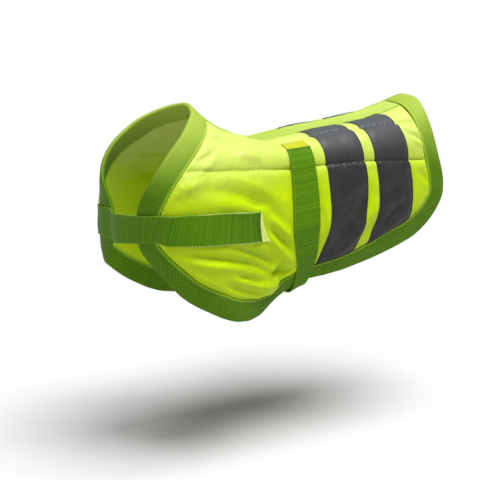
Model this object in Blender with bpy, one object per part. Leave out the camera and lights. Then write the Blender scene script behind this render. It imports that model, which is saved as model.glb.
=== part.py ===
# Reflective dog coat, worn: padded wrap-over panel with webbing edge, tapes and two straps.
# Sizes are in millimetres and turned into metres when a mesh is made.
# X runs from head to tail, Y to the dog's right, Z up. The origin is on the inside of the coat,
# on the spine, where it rests on the wearer's back.
import bpy
import numpy as np

MM = 0.001

# Driving sizes
GAP = 0.3                 # between pieces that are sewn together
STITCHED_WALL = 2.2       # panel where quilting holds it down
EDGE_WALL = 2.0           # panel under the binding
BINDING_WIDTH = 24.0      # 50 mm webbing folded in two
BINDING_WALL = 1.2
WEBBING_WALL = 1.5
TAPE_WALL = 1.0
PATCH_WALL = 1.0
SPINE_HALF = 15.0         # half of 30 mm webbing
TAPE_WIDTH = 50.0
TAPE_SPACE = 14.0
STRAP_WIDTH = 32.0
EDGE_INSET = 2.0          # panel edge behind the fold of the binding
FOLD_ROUND = 0.9          # half height of the folded edge
FOLD_INSIDE = 0.5         # inside of the fold, as a share of the inset

# Lengthwise places on the flank, from the neck edge
BELLY_STRAP_AT = 170.0
TAPE_AT = 220.0
REAR_AT = 390.0
CHEST_STRAP_END = 131.0
CHEST_PATCH_END = 141.0
BELLY_PATCH_LEAD = 2.0
ORIGIN_AT = 180.0         # the spine here is the origin
SEWN_END = 60.0           # length of the chest strap on the right flap
PATCH_BELOW = 4.0         # what shows of the chest patch below its strap
CHEST_STRAP_BULGE = -11.0
BELLY_STRAP_DROP = 5.0
ON_BINDING = (26.0, 18.0, 9.0, 0.0)
SPAN_STEPS = 7            # rows of a strap between the two sides

# Least distances of the chest strap's grid lines from their neighbours
TOP_TO_SEAM = 22.0
LOW_TO_SEAM = 8.0
QUILT_TO_TOP = 2.0

# Inside of the panel: a section every few centimetres along the flank. Each row is a point of
# the section, from the spine down past the hem: x, half width and z.
SECTIONS = {
    0.0: ((-100, 0, 48), (-102, 12, 46.5), (-108, 25, 42.5), (-121, 39, 34.5), (-139, 52, 21.5),
          (-159, 59, 5.5), (-175, 60, -14), (-184, 54, -32), (-185, 45, -49), (-182.5, 37.5, -63),
          (-180, 34, -80), (-176, 34, -96), (-168, 39, -112), (-157, 46, -128)),
    55.0: ((-68, 0, 20.5), (-74, 24, 18), (-88, 48, 11), (-106, 63, -4), (-126, 74, -28),
           (-140, 77, -58), (-146, 76, -90), (-147, 72, -118), (-146, 65, -144), (-143, 55, -168)),
    110.0: ((-40, 0, 8), (-44, 30, 7), (-52, 54, 1), (-62, 68, -15), (-77, 77, -45),
            (-88, 80, -82), (-92, 80, -120), (-91, 79, -152), (-88, 77, -182), (-85, 73, -205)),
    172.0: ((-8, 0, -1.5), (-7, 30, -1.5), (-7, 50, -3.5), (-7, 60, -9), (-8, 66, -22),
            (-10, 72.5, -50), (-12, 77.5, -90), (-12, 74, -120), (-12, 67, -150), (-12, 58, -175)),
    220.0: ((40, 0, 3), (40, 30, 3.5), (40, 48, 1), (40, 60, -8), (40, 67, -22),
            (40, 73.5, -50), (38, 78.5, -78), (31, 77, -105), (24, 72, -127), (18, 67, -146),
            (12, 60, -168)),
    334.0: ((156, 0, 15), (156, 28, 14.5), (157, 46, 9), (158, 58, -5), (160, 65, -28),
            (163, 68.5, -57), (163, 69, -75), (160, 67, -100), (153, 65, -126), (145, 62, -148)),
    390.0: ((214, 0, 33.5), (215, 15, 32), (213, 27, 25.5), (211, 47, -0.5), (213, 59, -33),
            (217, 62.5, -57), (216, 62.5, -81), (213, 61, -105), (210, 58, -125)),
}

# Girth lines, as lengths down from the spine: place, upper quilt line, lower quilt line, hem
GIRTH = (
    (0, 60, 122, 214), (2, 60, 121, 219), (10, 58, 118, 225), (20, 56, 112, 229),
    (40, 53, 103, 232), (55, 50, 97, 237), (85, 45, 88, 244), (100, 43, 86, 249),
    (112, 42, 84, 251.5), (126, 41, 81, 250), (140, 40, 79, 243), (150, 40, 78, 232),
    (160, 39, 77, 222), (172, 39, 77, 214), (187, 39, 77, 211), (202, 40, 78, 210),
    (220, 41, 80, 211), (245, 42, 82, 213), (270, 43, 84, 211), (300, 45, 87, 202),
    (334, 47, 91, 189), (350, 48, 93, 183), (365, 50, 95, 173), (375, 51, 97, 164),
    (385, 52, 98, 151), (388, 52, 99, 145), (390, 53, 99, 139),
)

# Chest strap edges on the flap, as lengths down from the spine: place, upper edge, lower edge
CHEST_STRAP = (
    (0, 172, 205), (25, 158, 191), (55, 143, 175), (90, 132, 163), (132, 124, 154),
    (172, 118, 146), (334, 115, 138), (390, 104, 109),
)
# How much lower it is sewn on the right flap: place and length
SEWN_LOWER = ((0, 12), (60, 12), (110, 0))

# Soft folds of the whole wall: side, place and girth at both ends, bow, half width and height
FOLDS = (
    ("both", 45, 128, 168, 150, 22, 24, 3.2), ("both", 40, 112, 160, 124, 22, 20, -2.4),
    ("left", 108, 176, 162, 204, 4, 16, -2.0), ("left", 118, 198, 158, 214, 3, 14, 1.8),
    ("right", 100, 170, 160, 206, 6, 18, -2.0), ("left", 272, 176, 330, 134, 4, 16, -1.8),
    ("right", 276, 128, 326, 172, 4, 18, -1.6), ("both", 262, 118, 280, 168, -4, 14, -2.0),
    ("both", 92, -30, 118, 34, 0, 18, -1.4), ("right", -10, 64, -10, 262, 0, 44, -16.0),
    ("right", 31, 150, 34, 300, 0, 40, 8.0),
)

# The coat lies a little lower on the right of the back: girth and height, and its share along it
CREST = ((-24, 0), (-15, 0.3), (0, 1.2), (15, 1.0), (30, -4.6), (45, -8.0), (60, -7.0),
         (75, -3.5), (95, 0))
CREST_ALONG = ((110, 0), (130, 0.5), (150, 1), (345, 1), (366, 0.6), (388, 0.2))

# Puffs of the quilting between its lines, from the spine out, and the length over which they
# fade at the neck and the rear
PUFFS = (0.8, 3.2, 4.0, 3.6)
PUFF_FADE = 16.0
PUFF_ROUND = 0.55


def spline(knots, values, at):
    """Natural cubic through rows of values; at gives one place for each column."""
    count = len(knots)
    step = np.diff(knots)
    flat = values.reshape(count, -1)
    matrix = np.eye(count)
    right = np.zeros_like(flat)
    for i in range(1, count - 1):
        matrix[i, i - 1:i + 2] = step[i - 1], 2 * (step[i - 1] + step[i]), step[i]
        right[i] = 6 * ((flat[i + 1] - flat[i]) / step[i] - (flat[i] - flat[i - 1]) / step[i - 1])
    bend = np.linalg.solve(matrix, right).reshape(values.shape)
    k = np.clip(np.searchsorted(knots, at, side="right") - 1, 0, count - 2)
    column = np.arange(len(at))
    after = (at - knots[k])[:, None]
    wide = step[k][:, None]
    before = wide - after
    low, high = values[k, column], values[k + 1, column]
    bend_low, bend_high = bend[k, column], bend[k + 1, column]
    curved = (bend_low * before ** 3 + bend_high * after ** 3) / (6 * wide)
    return (curved + (low / wide - bend_low * wide / 6) * before
            + (high / wide - bend_high * wide / 6) * after)


def section_curve(points):
    """Dense curve through a section's points, mirrored over the spine, with its arc lengths."""
    half = np.array(points, float)
    full = np.vstack([half[:0:-1] * [1, -1, 1], half])
    chord = np.r_[0, np.cumsum(np.linalg.norm(np.diff(full, axis=0), axis=1))]
    fine = np.linspace(chord[len(half) - 1], chord[-1], 900)
    repeated = np.repeat(full[:, None], len(fine), axis=1)
    curve = spline(chord, repeated, fine)
    arc = np.r_[0, np.cumsum(np.linalg.norm(np.diff(curve, axis=0), axis=1))]
    return arc, curve


PLACES = np.array(list(SECTIONS))
CURVES = [section_curve(points) for points in SECTIONS.values()]


def base(u, t):
    """Smooth inside of the coat at place u along the flank and girth t, left side negative."""
    u, t = np.broadcast_arrays(np.asarray(u, float), np.asarray(t, float))
    shape = u.shape
    u = u.ravel()
    side = np.sign(t.ravel())
    girth = np.abs(t.ravel())
    rows = np.zeros((len(PLACES), len(u), 3))
    for i, (arc, curve) in enumerate(CURVES):
        for axis in range(3):
            rows[i, :, axis] = np.interp(girth, arc, curve[:, axis])
        onward = (curve[-1] - curve[-9]) / np.linalg.norm(curve[-1] - curve[-9])
        rows[i] += np.maximum(girth - arc[-1], 0)[:, None] * onward
    points = spline(PLACES, rows, u)
    points[:, 1] *= side
    return points.reshape(shape + (3,))


ORIGIN = base([ORIGIN_AT], [0.0])[0]


def facing(surface, u, t):
    """Unit normal of a surface, pointing out of the coat."""
    small = 0.4
    along = surface(u + small, t) - surface(u - small, t)
    round_ = surface(u, t + small) - surface(u, t - small)
    normal = np.cross(along, round_)
    return normal / np.linalg.norm(normal, axis=-1, keepdims=True)


def fold_height(u, t):
    """Height of all the soft folds, each a bowed ridge or trough that fades at its ends."""
    height = np.zeros(np.shape(u))
    for side, u0, t0, u1, t1, bow, half, rise in FOLDS:
        if side == "both" and t0 < 0:
            girth = t
        else:
            girth = np.abs(t)
        run = np.array([u1 - u0, t1 - t0], float)
        length = np.hypot(*run)
        run /= length
        s = ((u - u0) * run[0] + (girth - t0) * run[1]) / length
        off = -(u - u0) * run[1] + (girth - t0) * run[0] + bow * 4 * s * (1 - s)
        lengthwise = np.where((s > 0) & (s < 1), np.sin(np.pi * np.clip(s, 0, 1)) ** 1.2, 0)
        across = np.exp(-(off / (half * 0.5)) ** 2)
        here = np.ones(np.shape(u))
        if side == "left":
            here = (t < 0).astype(float)
        elif side == "right":
            here = (t > 0).astype(float)
        height += rise * lengthwise * across * here
    return height + crest_height(u, t)


def crest_height(u, t):
    """Height of the back over the symmetrical form."""
    place, rise = np.array(CREST, float).T
    fine = np.linspace(place[0], place[-1], 240)
    curve = spline(place, np.repeat(rise[:, None, None], len(fine), axis=1), fine)[:, 0]
    along = np.array(CREST_ALONG, float)
    return np.interp(t, fine, curve) * np.interp(u, along[:, 0], along[:, 1])


def inside(u, t):
    """Inside of the panel with its folds."""
    u, t = np.broadcast_arrays(np.asarray(u, float), np.asarray(t, float))
    return base(u, t) + fold_height(u, t)[..., None] * facing(base, u, t)


def column_of(table, index, u):
    values = np.array(table, float)
    return np.interp(u, values[:, 0], values[:, index])


def hem(u):
    return column_of(GIRTH, 3, u)


# Grid lines along the coat, from the neck edge: the bands of the binding come first and last
RING = (0.0, EDGE_INSET, 12.0, BINDING_WIDTH)
SEAM = 0.8
FRONT_LINES = RING + (BINDING_WIDTH + SEAM,)
MIDDLE_LINES = (41, 57, 74, 92, 111, CHEST_STRAP_END, CHEST_PATCH_END, 156,
                BELLY_STRAP_AT - BELLY_PATCH_LEAD, BELLY_STRAP_AT,
                BELLY_STRAP_AT + STRAP_WIDTH / 2, BELLY_STRAP_AT + STRAP_WIDTH)
TAPE_LINES = tuple(TAPE_AT + start + TAPE_WIDTH * part / 3
                   for start in (0, TAPE_WIDTH + TAPE_SPACE) for part in range(4))
REAR_LINES = (350.0,) + tuple(REAR_AT - depth for depth in FRONT_LINES[::-1])
LINES = np.array(FRONT_LINES + MIDDLE_LINES + TAPE_LINES + REAR_LINES)


def stretched(line, t):
    """Place u of a grid line, so that the neck binding keeps its true width all round."""
    rows = np.asarray(line, float)
    away = base(np.full(np.shape(t), BINDING_WIDTH), t) - base(np.zeros(np.shape(t)), t)
    scale = BINDING_WIDTH / np.linalg.norm(away, axis=-1)
    last = FRONT_LINES[-1]
    near = rows * scale
    share = (rows - last) / (BELLY_STRAP_AT - last)
    far = last * scale + share * (BELLY_STRAP_AT - last * scale)
    return np.where(rows <= last, near, np.where(rows < BELLY_STRAP_AT, far, rows))


def inset_girth(u, depth):
    """Girth at which a line lies the given depth in from the hem, measured on the cloth."""
    places = np.linspace(0, REAR_AT, 400)
    edge = base(places, hem(places))
    start = hem(u)
    steps = np.arange(0, 70, 0.25)
    trial = base(np.full(len(steps), u), start - steps)
    near = np.linalg.norm(trial[:, None] - edge[None], axis=2).min(axis=1)
    return start - steps[np.argmax(near >= depth)]


# Named girth lines of one side: each step between two of them is cut into cells
QUILT_STEPS = (0.3, 0.58, 0.8)


def chest_edges(u, side):
    """Girths of the chest strap's two edges on one side."""
    lower = column_of(SEWN_LOWER, 1, u) if side > 0 else 0.0
    return column_of(CHEST_STRAP, 1, u) + lower, column_of(CHEST_STRAP, 2, u) + lower


def girth_lines(u, side):
    """All girths of one row on one side, from the spine to the hem."""
    upper, lower = column_of(GIRTH, 1, u), column_of(GIRTH, 2, u)
    seam = inset_girth(u, BINDING_WIDTH + SEAM)
    strap_top, strap_low = chest_edges(u, side)
    strap_top = min(strap_top, seam - TOP_TO_SEAM)
    strap_low = min(strap_low, seam - LOW_TO_SEAM)
    strap_top = max(strap_top, lower + QUILT_TO_TOP)
    patch_low = strap_low + PATCH_BELOW
    lines = [0.0, SPINE_HALF, (SPINE_HALF + upper) / 2, upper]
    lines += [upper + share * (lower - upper) for share in QUILT_STEPS]
    lines += [lower + (strap_top - lower) * k / 3 for k in range(4)]
    lines += [(strap_top + strap_low) / 2, strap_low, patch_low]
    lines += [patch_low + (seam - patch_low) * k / 3 for k in (1, 2)]
    lines += [seam, inset_girth(u, BINDING_WIDTH), inset_girth(u, RING[2])]
    lines += [inset_girth(u, EDGE_INSET)]
    lines += [hem(u)]
    return np.array(lines)


COLUMN = {"spine_edge": 1, "upper_quilt": 3, "patch_top": 4, "strap_end": 5, "lower_quilt": 7,
          "chest_top": 10, "chest_low": 12, "patch_low": 13, "seam": 16, "binding": 17, "hem": 20}
HALF_COLUMNS = COLUMN["hem"]
ROW = {name: int(np.argmin(abs(LINES - value))) for name, value in (
    ("neck_seam", FRONT_LINES[-1]), ("chest_strap_end", CHEST_STRAP_END),
    ("chest_patch_end", CHEST_PATCH_END), ("belly_patch", BELLY_STRAP_AT - BELLY_PATCH_LEAD),
    ("belly_front", BELLY_STRAP_AT), ("belly_rear", BELLY_STRAP_AT + STRAP_WIDTH),
    ("tape_front", TAPE_AT), ("tape_rear", TAPE_AT + TAPE_WIDTH + TAPE_SPACE),
    ("rear_seam", REAR_AT - FRONT_LINES[-1]))}

# The grid: rows along the coat, columns from the left hem over the spine to the right hem
LEFT = np.array([girth_lines(line, -1) for line in LINES])
RIGHT = np.array([girth_lines(line, 1) for line in LINES])
GIRTHS = np.hstack([-LEFT[:, :0:-1], RIGHT])
LINE_GRID = np.repeat(LINES[:, None], GIRTHS.shape[1], axis=1)
U_GRID = stretched(LINE_GRID, GIRTHS)
INNER = inside(U_GRID, GIRTHS)
NORMAL = facing(inside, U_GRID, GIRTHS)
ROWS, COLUMNS = GIRTHS.shape
MIDDLE = HALF_COLUMNS
LAST_RING = len(RING) - 1


def puff_heights():
    """Height of the padding over the stitched wall, for every point of the grid."""
    def of_side(half):
        bounds = (0.0, SPINE_HALF, half[COLUMN["upper_quilt"]], half[COLUMN["lower_quilt"]],
                  half[COLUMN["seam"]])
        heights = np.zeros(len(half))
        for k, puff in enumerate(PUFFS):
            start, end = bounds[k], bounds[k + 1]
            share = np.clip((half - start) / (end - start), 0, 1)
            rise = np.sin(np.pi * share) ** PUFF_ROUND
            if k == 3:
                rise = np.clip(share / 0.12, 0, 1) ** 0.6 * np.clip((1 - share) / 0.16, 0, 1) ** 0.7
            heights += np.where((half > start) & (half < end), puff * rise, 0)
        return heights

    heights = np.array([np.r_[of_side(left)[:0:-1], of_side(right)]
                        for left, right in zip(LEFT, RIGHT)])
    ends = np.clip((LINES - FRONT_LINES[-1]) / PUFF_FADE, 0, 1) * np.clip(
        (REAR_AT - FRONT_LINES[-1] - LINES) / PUFF_FADE, 0, 1)
    return heights * (ends ** 0.7)[:, None]


def edge_band():
    """Grid points that lie under the binding."""
    band = np.zeros((ROWS, COLUMNS), bool)
    band[:LAST_RING + 1] = True
    band[ROWS - LAST_RING - 1:] = True
    band[:, :LAST_RING + 1] = True
    band[:, COLUMNS - LAST_RING - 1:] = True
    return band


WALL = np.where(edge_band(), EDGE_WALL, STITCHED_WALL + puff_heights())


def lifted(height):
    return INNER + NORMAL * np.asarray(height)[..., None]


def triangles(mask):
    """Triangles of the grid cells in a mask, split toward the nearest corner of the coat."""
    i, j = np.nonzero(mask)
    a = i * COLUMNS + j
    b = a + COLUMNS
    c = b + 1
    d = a + 1
    front = i < ROW["belly_rear"]
    left = j < MIDDLE
    falling = front == left
    first = np.where(falling[:, None], np.stack([a, b, c], 1), np.stack([a, b, d], 1))
    second = np.where(falling[:, None], np.stack([a, c, d], 1), np.stack([b, c, d], 1))
    return np.vstack([first, second])


def rim(faces):
    """Directed edges that only one triangle has."""
    edges = np.vstack([faces[:, [0, 1]], faces[:, [1, 2]], faces[:, [2, 0]]])
    known = {tuple(edge) for edge in edges.tolist()}
    return np.array([edge for edge in edges.tolist() if (edge[1], edge[0]) not in known])


def joining(edges, upper, lower):
    """Triangles that close two sheets along their rims."""
    a, b = edges[:, 0], edges[:, 1]
    first = np.stack([b + upper, a + upper, a + lower], 1)
    second = np.stack([b + upper, a + lower, b + lower], 1)
    return np.vstack([first, second])


def material(name, colour, roughness, metallic=0.0):
    made = bpy.data.materials.new(name)
    made.use_nodes = True
    shader = made.node_tree.nodes["Principled BSDF"]
    shader.inputs["Base Color"].default_value = (*colour, 1.0)
    shader.inputs["Roughness"].default_value = roughness
    shader.inputs["Metallic"].default_value = metallic
    return made


def add_piece(name, points, faces, look):
    """Object from points in millimetres and triangles, moved to the coat's origin."""
    used, faces = np.unique(faces, return_inverse=True)
    faces = faces.reshape(-1, 3)
    mesh = bpy.data.meshes.new(name)
    mesh.from_pydata(((points[used] - ORIGIN) * MM).tolist(), [], faces.tolist())
    mesh.materials.append(look)
    mesh.update()
    piece = bpy.data.objects.new(name, mesh)
    piece.parent = coat_root
    coat.objects.link(piece)
    return piece


def sheet_piece(name, mask, lower, upper, look):
    """Closed wall between two heights over the grid cells in a mask."""
    top = triangles(mask)
    count = ROWS * COLUMNS
    points = np.vstack([lifted(lower).reshape(-1, 3), lifted(upper).reshape(-1, 3)])
    faces = np.vstack([top + count, top[:, ::-1], joining(rim(top), count, 0)])
    return add_piece(name, points, faces, look)


def cells(row0, row1, column0, column1):
    """Mask of the cells between two grid rows and two grid columns."""
    mask = np.zeros((ROWS - 1, COLUMNS - 1), bool)
    mask[row0:row1, column0:column1] = True
    return mask


def ring_cells(start):
    """Mask of the cells of the binding from one ring line in to the binding's edge."""
    mask = cells(start, ROWS - 1 - start, start, COLUMNS - 1 - start)
    hole = LAST_RING
    mask[hole:ROWS - 1 - hole, hole:COLUMNS - 1 - hole] = False
    return mask


def ring_rim(edges, line):
    """Those edges of a rim that lie on one ring line."""
    i, j = np.divmod(edges, COLUMNS)
    depth = np.minimum(np.minimum(i, ROWS - 1 - i), np.minimum(j, COLUMNS - 1 - j))
    return edges[(depth == line).all(axis=1)]


def add_binding(look):
    """Webbing folded over the edge: an outer leg, an inner leg and the fold between them."""
    outer = WALL + GAP + BINDING_WALL
    inner = np.full((ROWS, COLUMNS), -GAP - BINDING_WALL)
    edge = np.zeros((ROWS, COLUMNS), bool)
    edge[[0, -1]] = True
    edge[:, [0, -1]] = True
    middle = EDGE_WALL / 2
    outer[edge] = middle + FOLD_ROUND
    inner[edge] = middle - FOLD_ROUND
    outward_row = np.arange(ROWS)
    outward_row[[1, -2]] = 0, ROWS - 1
    outward_column = np.arange(COLUMNS)
    outward_column[[1, -2]] = 0, COLUMNS - 1
    beyond = np.ix_(outward_row, outward_column)
    over = lifted(WALL + GAP)
    under = lifted(np.full((ROWS, COLUMNS), -GAP))
    over = over * FOLD_INSIDE + over[beyond] * (1 - FOLD_INSIDE)
    under = under * FOLD_INSIDE + under[beyond] * (1 - FOLD_INSIDE)
    count = ROWS * COLUMNS
    points = np.vstack([s.reshape(-1, 3) for s in (lifted(outer), lifted(inner), over, under)])
    whole, legs = triangles(ring_cells(0)), triangles(ring_cells(1))
    whole_rim, legs_rim = rim(whole), rim(legs)
    outside, inside_, facing_out, facing_in = 0, count, 2 * count, 3 * count
    faces = [whole + outside, whole[:, ::-1] + inside_]
    faces += [legs[:, ::-1] + facing_out, legs + facing_in]
    faces.append(joining(ring_rim(whole_rim, 0), outside, inside_))
    faces.append(joining(ring_rim(whole_rim, LAST_RING), outside, facing_out))
    faces.append(joining(ring_rim(legs_rim, LAST_RING), facing_in, inside_))
    faces.append(joining(ring_rim(legs_rim, 1)[:, ::-1], facing_out, facing_in))
    return add_piece("edge_binding", points, np.vstack(faces), look)


def band_piece(name, under, thick, falling, look):
    """Closed webbing from the grid of its under side; falling picks each cell's diagonal."""
    rows, columns = under.shape[:2]
    along = np.gradient(under, axis=0)
    across = np.gradient(under, axis=1)
    normal = np.cross(along, across)
    normal /= np.linalg.norm(normal, axis=-1, keepdims=True)
    over = under + normal * thick
    i, j = np.nonzero(np.ones((rows - 1, columns - 1), bool))
    a = i * columns + j
    b, c, d = a + columns, a + columns + 1, a + 1
    pick = falling[i][:, None]
    first = np.where(pick, np.stack([a, b, c], 1), np.stack([a, b, d], 1))
    second = np.where(pick, np.stack([a, c, d], 1), np.stack([b, c, d], 1))
    top = np.vstack([first, second])
    count = rows * columns
    points = np.vstack([under.reshape(-1, 3), over.reshape(-1, 3)])
    faces = np.vstack([top + count, top[:, ::-1], joining(rim(top), count, 0)])
    return add_piece(name, points, faces, look)


def free_span(left, right, middle, steps):
    """Points of a strap between its last rows on both sides, through a middle row."""
    rows = np.stack([left[0], left[1], middle, right[1], right[0]])
    centre = rows[:, 1]
    chord = np.r_[0, np.cumsum(np.linalg.norm(np.diff(centre, axis=0), axis=1))]
    places = np.linspace(chord[1], chord[3], steps + 2)[1:-1]
    return np.stack([spline(chord, np.repeat(rows[:, k:k + 1], steps, axis=1), places)
                     for k in range(rows.shape[1])], axis=1)


def add_chest_strap(look):
    """Webbing from the left flap over its loop patch, across the chest, to the right flap."""
    lift = WALL + GAP + PATCH_WALL + GAP
    surface = lifted(lift)
    first, last = COLUMN["chest_top"], COLUMN["chest_low"]
    left_columns = [MIDDLE - k for k in range(first, last + 1)]
    right_columns = [MIDDLE + k for k in range(first, last + 1)]
    seam_row = ROW["neck_seam"]
    left = [surface[row, left_columns] for row in range(ROW["chest_strap_end"], seam_row, -1)]
    sewn_row = int(np.argmin(abs(LINES - SEWN_END)))
    right = [surface[row, right_columns] for row in range(seam_row + 1, sewn_row + 1)]
    over_edge = EDGE_WALL + GAP + BINDING_WALL + 4 * GAP

    def on_binding(place, side):
        top, low = chest_edges(place, side)
        girth = side * np.array([top, (top + low) / 2, low])
        u = stretched(np.full(3, place), girth)
        return inside(u, girth) + over_edge * facing(inside, u, girth)

    left_edge = [on_binding(place, -1) for place in ON_BINDING]
    right_edge = [on_binding(place, 1) for place in ON_BINDING[::-1]]
    front = (left_edge[-1] + right_edge[0]) / 2 + np.array([CHEST_STRAP_BULGE, 0, 0])
    span = free_span((left_edge[-2], left_edge[-1]), (right_edge[1], right_edge[0]), front,
                     SPAN_STEPS)
    under = np.stack(left + left_edge + list(span) + right_edge + right)
    falling = np.arange(len(under) - 1) < len(left) + 5
    return band_piece("chest_strap", under, WEBBING_WALL, falling, look)


def add_belly_strap(look):
    """Webbing from its patch on the left flank, round under the belly, to the right flank."""
    rows = [ROW["belly_front"], ROW["belly_front"] + 1, ROW["belly_rear"]]
    surface = lifted(WALL + GAP + PATCH_WALL + GAP)
    edge = lifted(WALL + GAP + BINDING_WALL + GAP)
    seam, binding = COLUMN["seam"], COLUMN["binding"]
    left = [surface[rows, MIDDLE - k] for k in range(COLUMN["strap_end"], seam + 1)]
    left += [edge[rows, MIDDLE - k] for k in range(binding, COLUMN["hem"] + 1)]
    right = [edge[rows, MIDDLE + k] for k in range(COLUMN["hem"], binding - 1, -1)]
    right += [surface[rows, MIDDLE + k] for k in range(seam, COLUMN["chest_low"] - 1, -1)]
    middle = (left[-1] + right[0]) / 2
    middle[:, 2] -= BELLY_STRAP_DROP
    span = free_span((left[-2], left[-1]), (right[1], right[0]), middle, SPAN_STEPS)
    under = np.stack(left + list(span) + right)
    falling = np.arange(len(under) - 1) > len(left) + 3
    return band_piece("belly_strap", under, WEBBING_WALL, falling, look)


for old in list(bpy.data.objects):
    bpy.data.objects.remove(old, do_unlink=True)

coat = bpy.data.collections.new("reflective_dog_coat")
bpy.context.scene.collection.children.link(coat)
coat_root = bpy.data.objects.new("coat_root", None)
coat.objects.link(coat_root)

nylon = material("hi_vis_nylon", (0.62, 0.93, 0.02), 0.5)
edge_webbing = material("green_edge_webbing", (0.13, 0.36, 0.01), 0.7)
back_webbing = material("green_spine_webbing", (0.2, 0.48, 0.01), 0.7)
strap_webbing = material("green_strap_webbing", (0.1, 0.3, 0.01), 0.7)
tape_grey = material("reflective_grey", (0.06, 0.06, 0.07), 0.45)
loop_yellow = material("loop_patch_yellow", (0.75, 0.85, 0.15), 0.9)

inset = 1
body = cells(inset, ROWS - 1 - inset, inset, COLUMNS - 1 - inset)
sheet_piece("body_panel", body, np.zeros((ROWS, COLUMNS)), WALL, nylon)
add_binding(edge_webbing)

# Tapes lie on the panel from seam to seam, and the spine webbing over them
seam_left, seam_right = MIDDLE - COLUMN["seam"], MIDDLE + COLUMN["seam"]
tape_top = WALL + GAP + TAPE_WALL
over_tapes = WALL + GAP
for tape_name, start_row in (("reflective_tape_front", ROW["tape_front"]),
                             ("reflective_tape_rear", ROW["tape_rear"])):
    tape_cells = cells(start_row, start_row + 3, seam_left, seam_right)
    sheet_piece(tape_name, tape_cells, WALL + GAP, tape_top, tape_grey)
    over_tapes[start_row:start_row + 4] = tape_top[start_row:start_row + 4] + GAP
spine_cells = cells(ROW["neck_seam"], ROW["rear_seam"], MIDDLE - COLUMN["spine_edge"],
                    MIDDLE + COLUMN["spine_edge"])
sheet_piece("spine_webbing", spine_cells, over_tapes, over_tapes + WEBBING_WALL, back_webbing)

# Loop patches on the left side, and the straps that close on them
chest_patch = cells(ROW["neck_seam"], ROW["chest_patch_end"], MIDDLE - COLUMN["patch_low"],
                    MIDDLE - COLUMN["chest_top"])
sheet_piece("chest_loop_patch", chest_patch, WALL + GAP, WALL + GAP + PATCH_WALL, loop_yellow)
belly_patch = cells(ROW["belly_patch"], ROW["belly_rear"], MIDDLE - COLUMN["chest_low"],
                    MIDDLE - COLUMN["patch_top"])
sheet_piece("belly_loop_patch", belly_patch, WALL + GAP, WALL + GAP + PATCH_WALL, loop_yellow)
add_chest_strap(strap_webbing)
add_belly_strap(strap_webbing)
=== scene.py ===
# Looks of the dog coat: quilted panel, folded edge webbing, reflective tapes, webbing straps,
# loop patches and their sewing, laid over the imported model.
# Lengths are in millimetres, and become metres where a mesh is made.
import math
import bmesh
import bpy
import numpy as np
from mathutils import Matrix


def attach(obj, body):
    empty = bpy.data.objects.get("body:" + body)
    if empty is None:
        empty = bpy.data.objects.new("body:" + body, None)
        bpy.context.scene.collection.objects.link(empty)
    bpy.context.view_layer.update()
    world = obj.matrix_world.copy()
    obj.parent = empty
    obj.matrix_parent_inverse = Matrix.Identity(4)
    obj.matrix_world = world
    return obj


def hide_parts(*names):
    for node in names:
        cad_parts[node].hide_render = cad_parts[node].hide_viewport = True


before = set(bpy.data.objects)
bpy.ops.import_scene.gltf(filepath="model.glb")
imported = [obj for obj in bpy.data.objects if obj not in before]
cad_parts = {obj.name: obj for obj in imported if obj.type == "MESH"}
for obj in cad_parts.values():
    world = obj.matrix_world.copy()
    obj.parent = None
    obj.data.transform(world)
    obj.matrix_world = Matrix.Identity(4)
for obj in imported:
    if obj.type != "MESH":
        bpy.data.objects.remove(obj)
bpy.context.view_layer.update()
mm = 0.001

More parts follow.
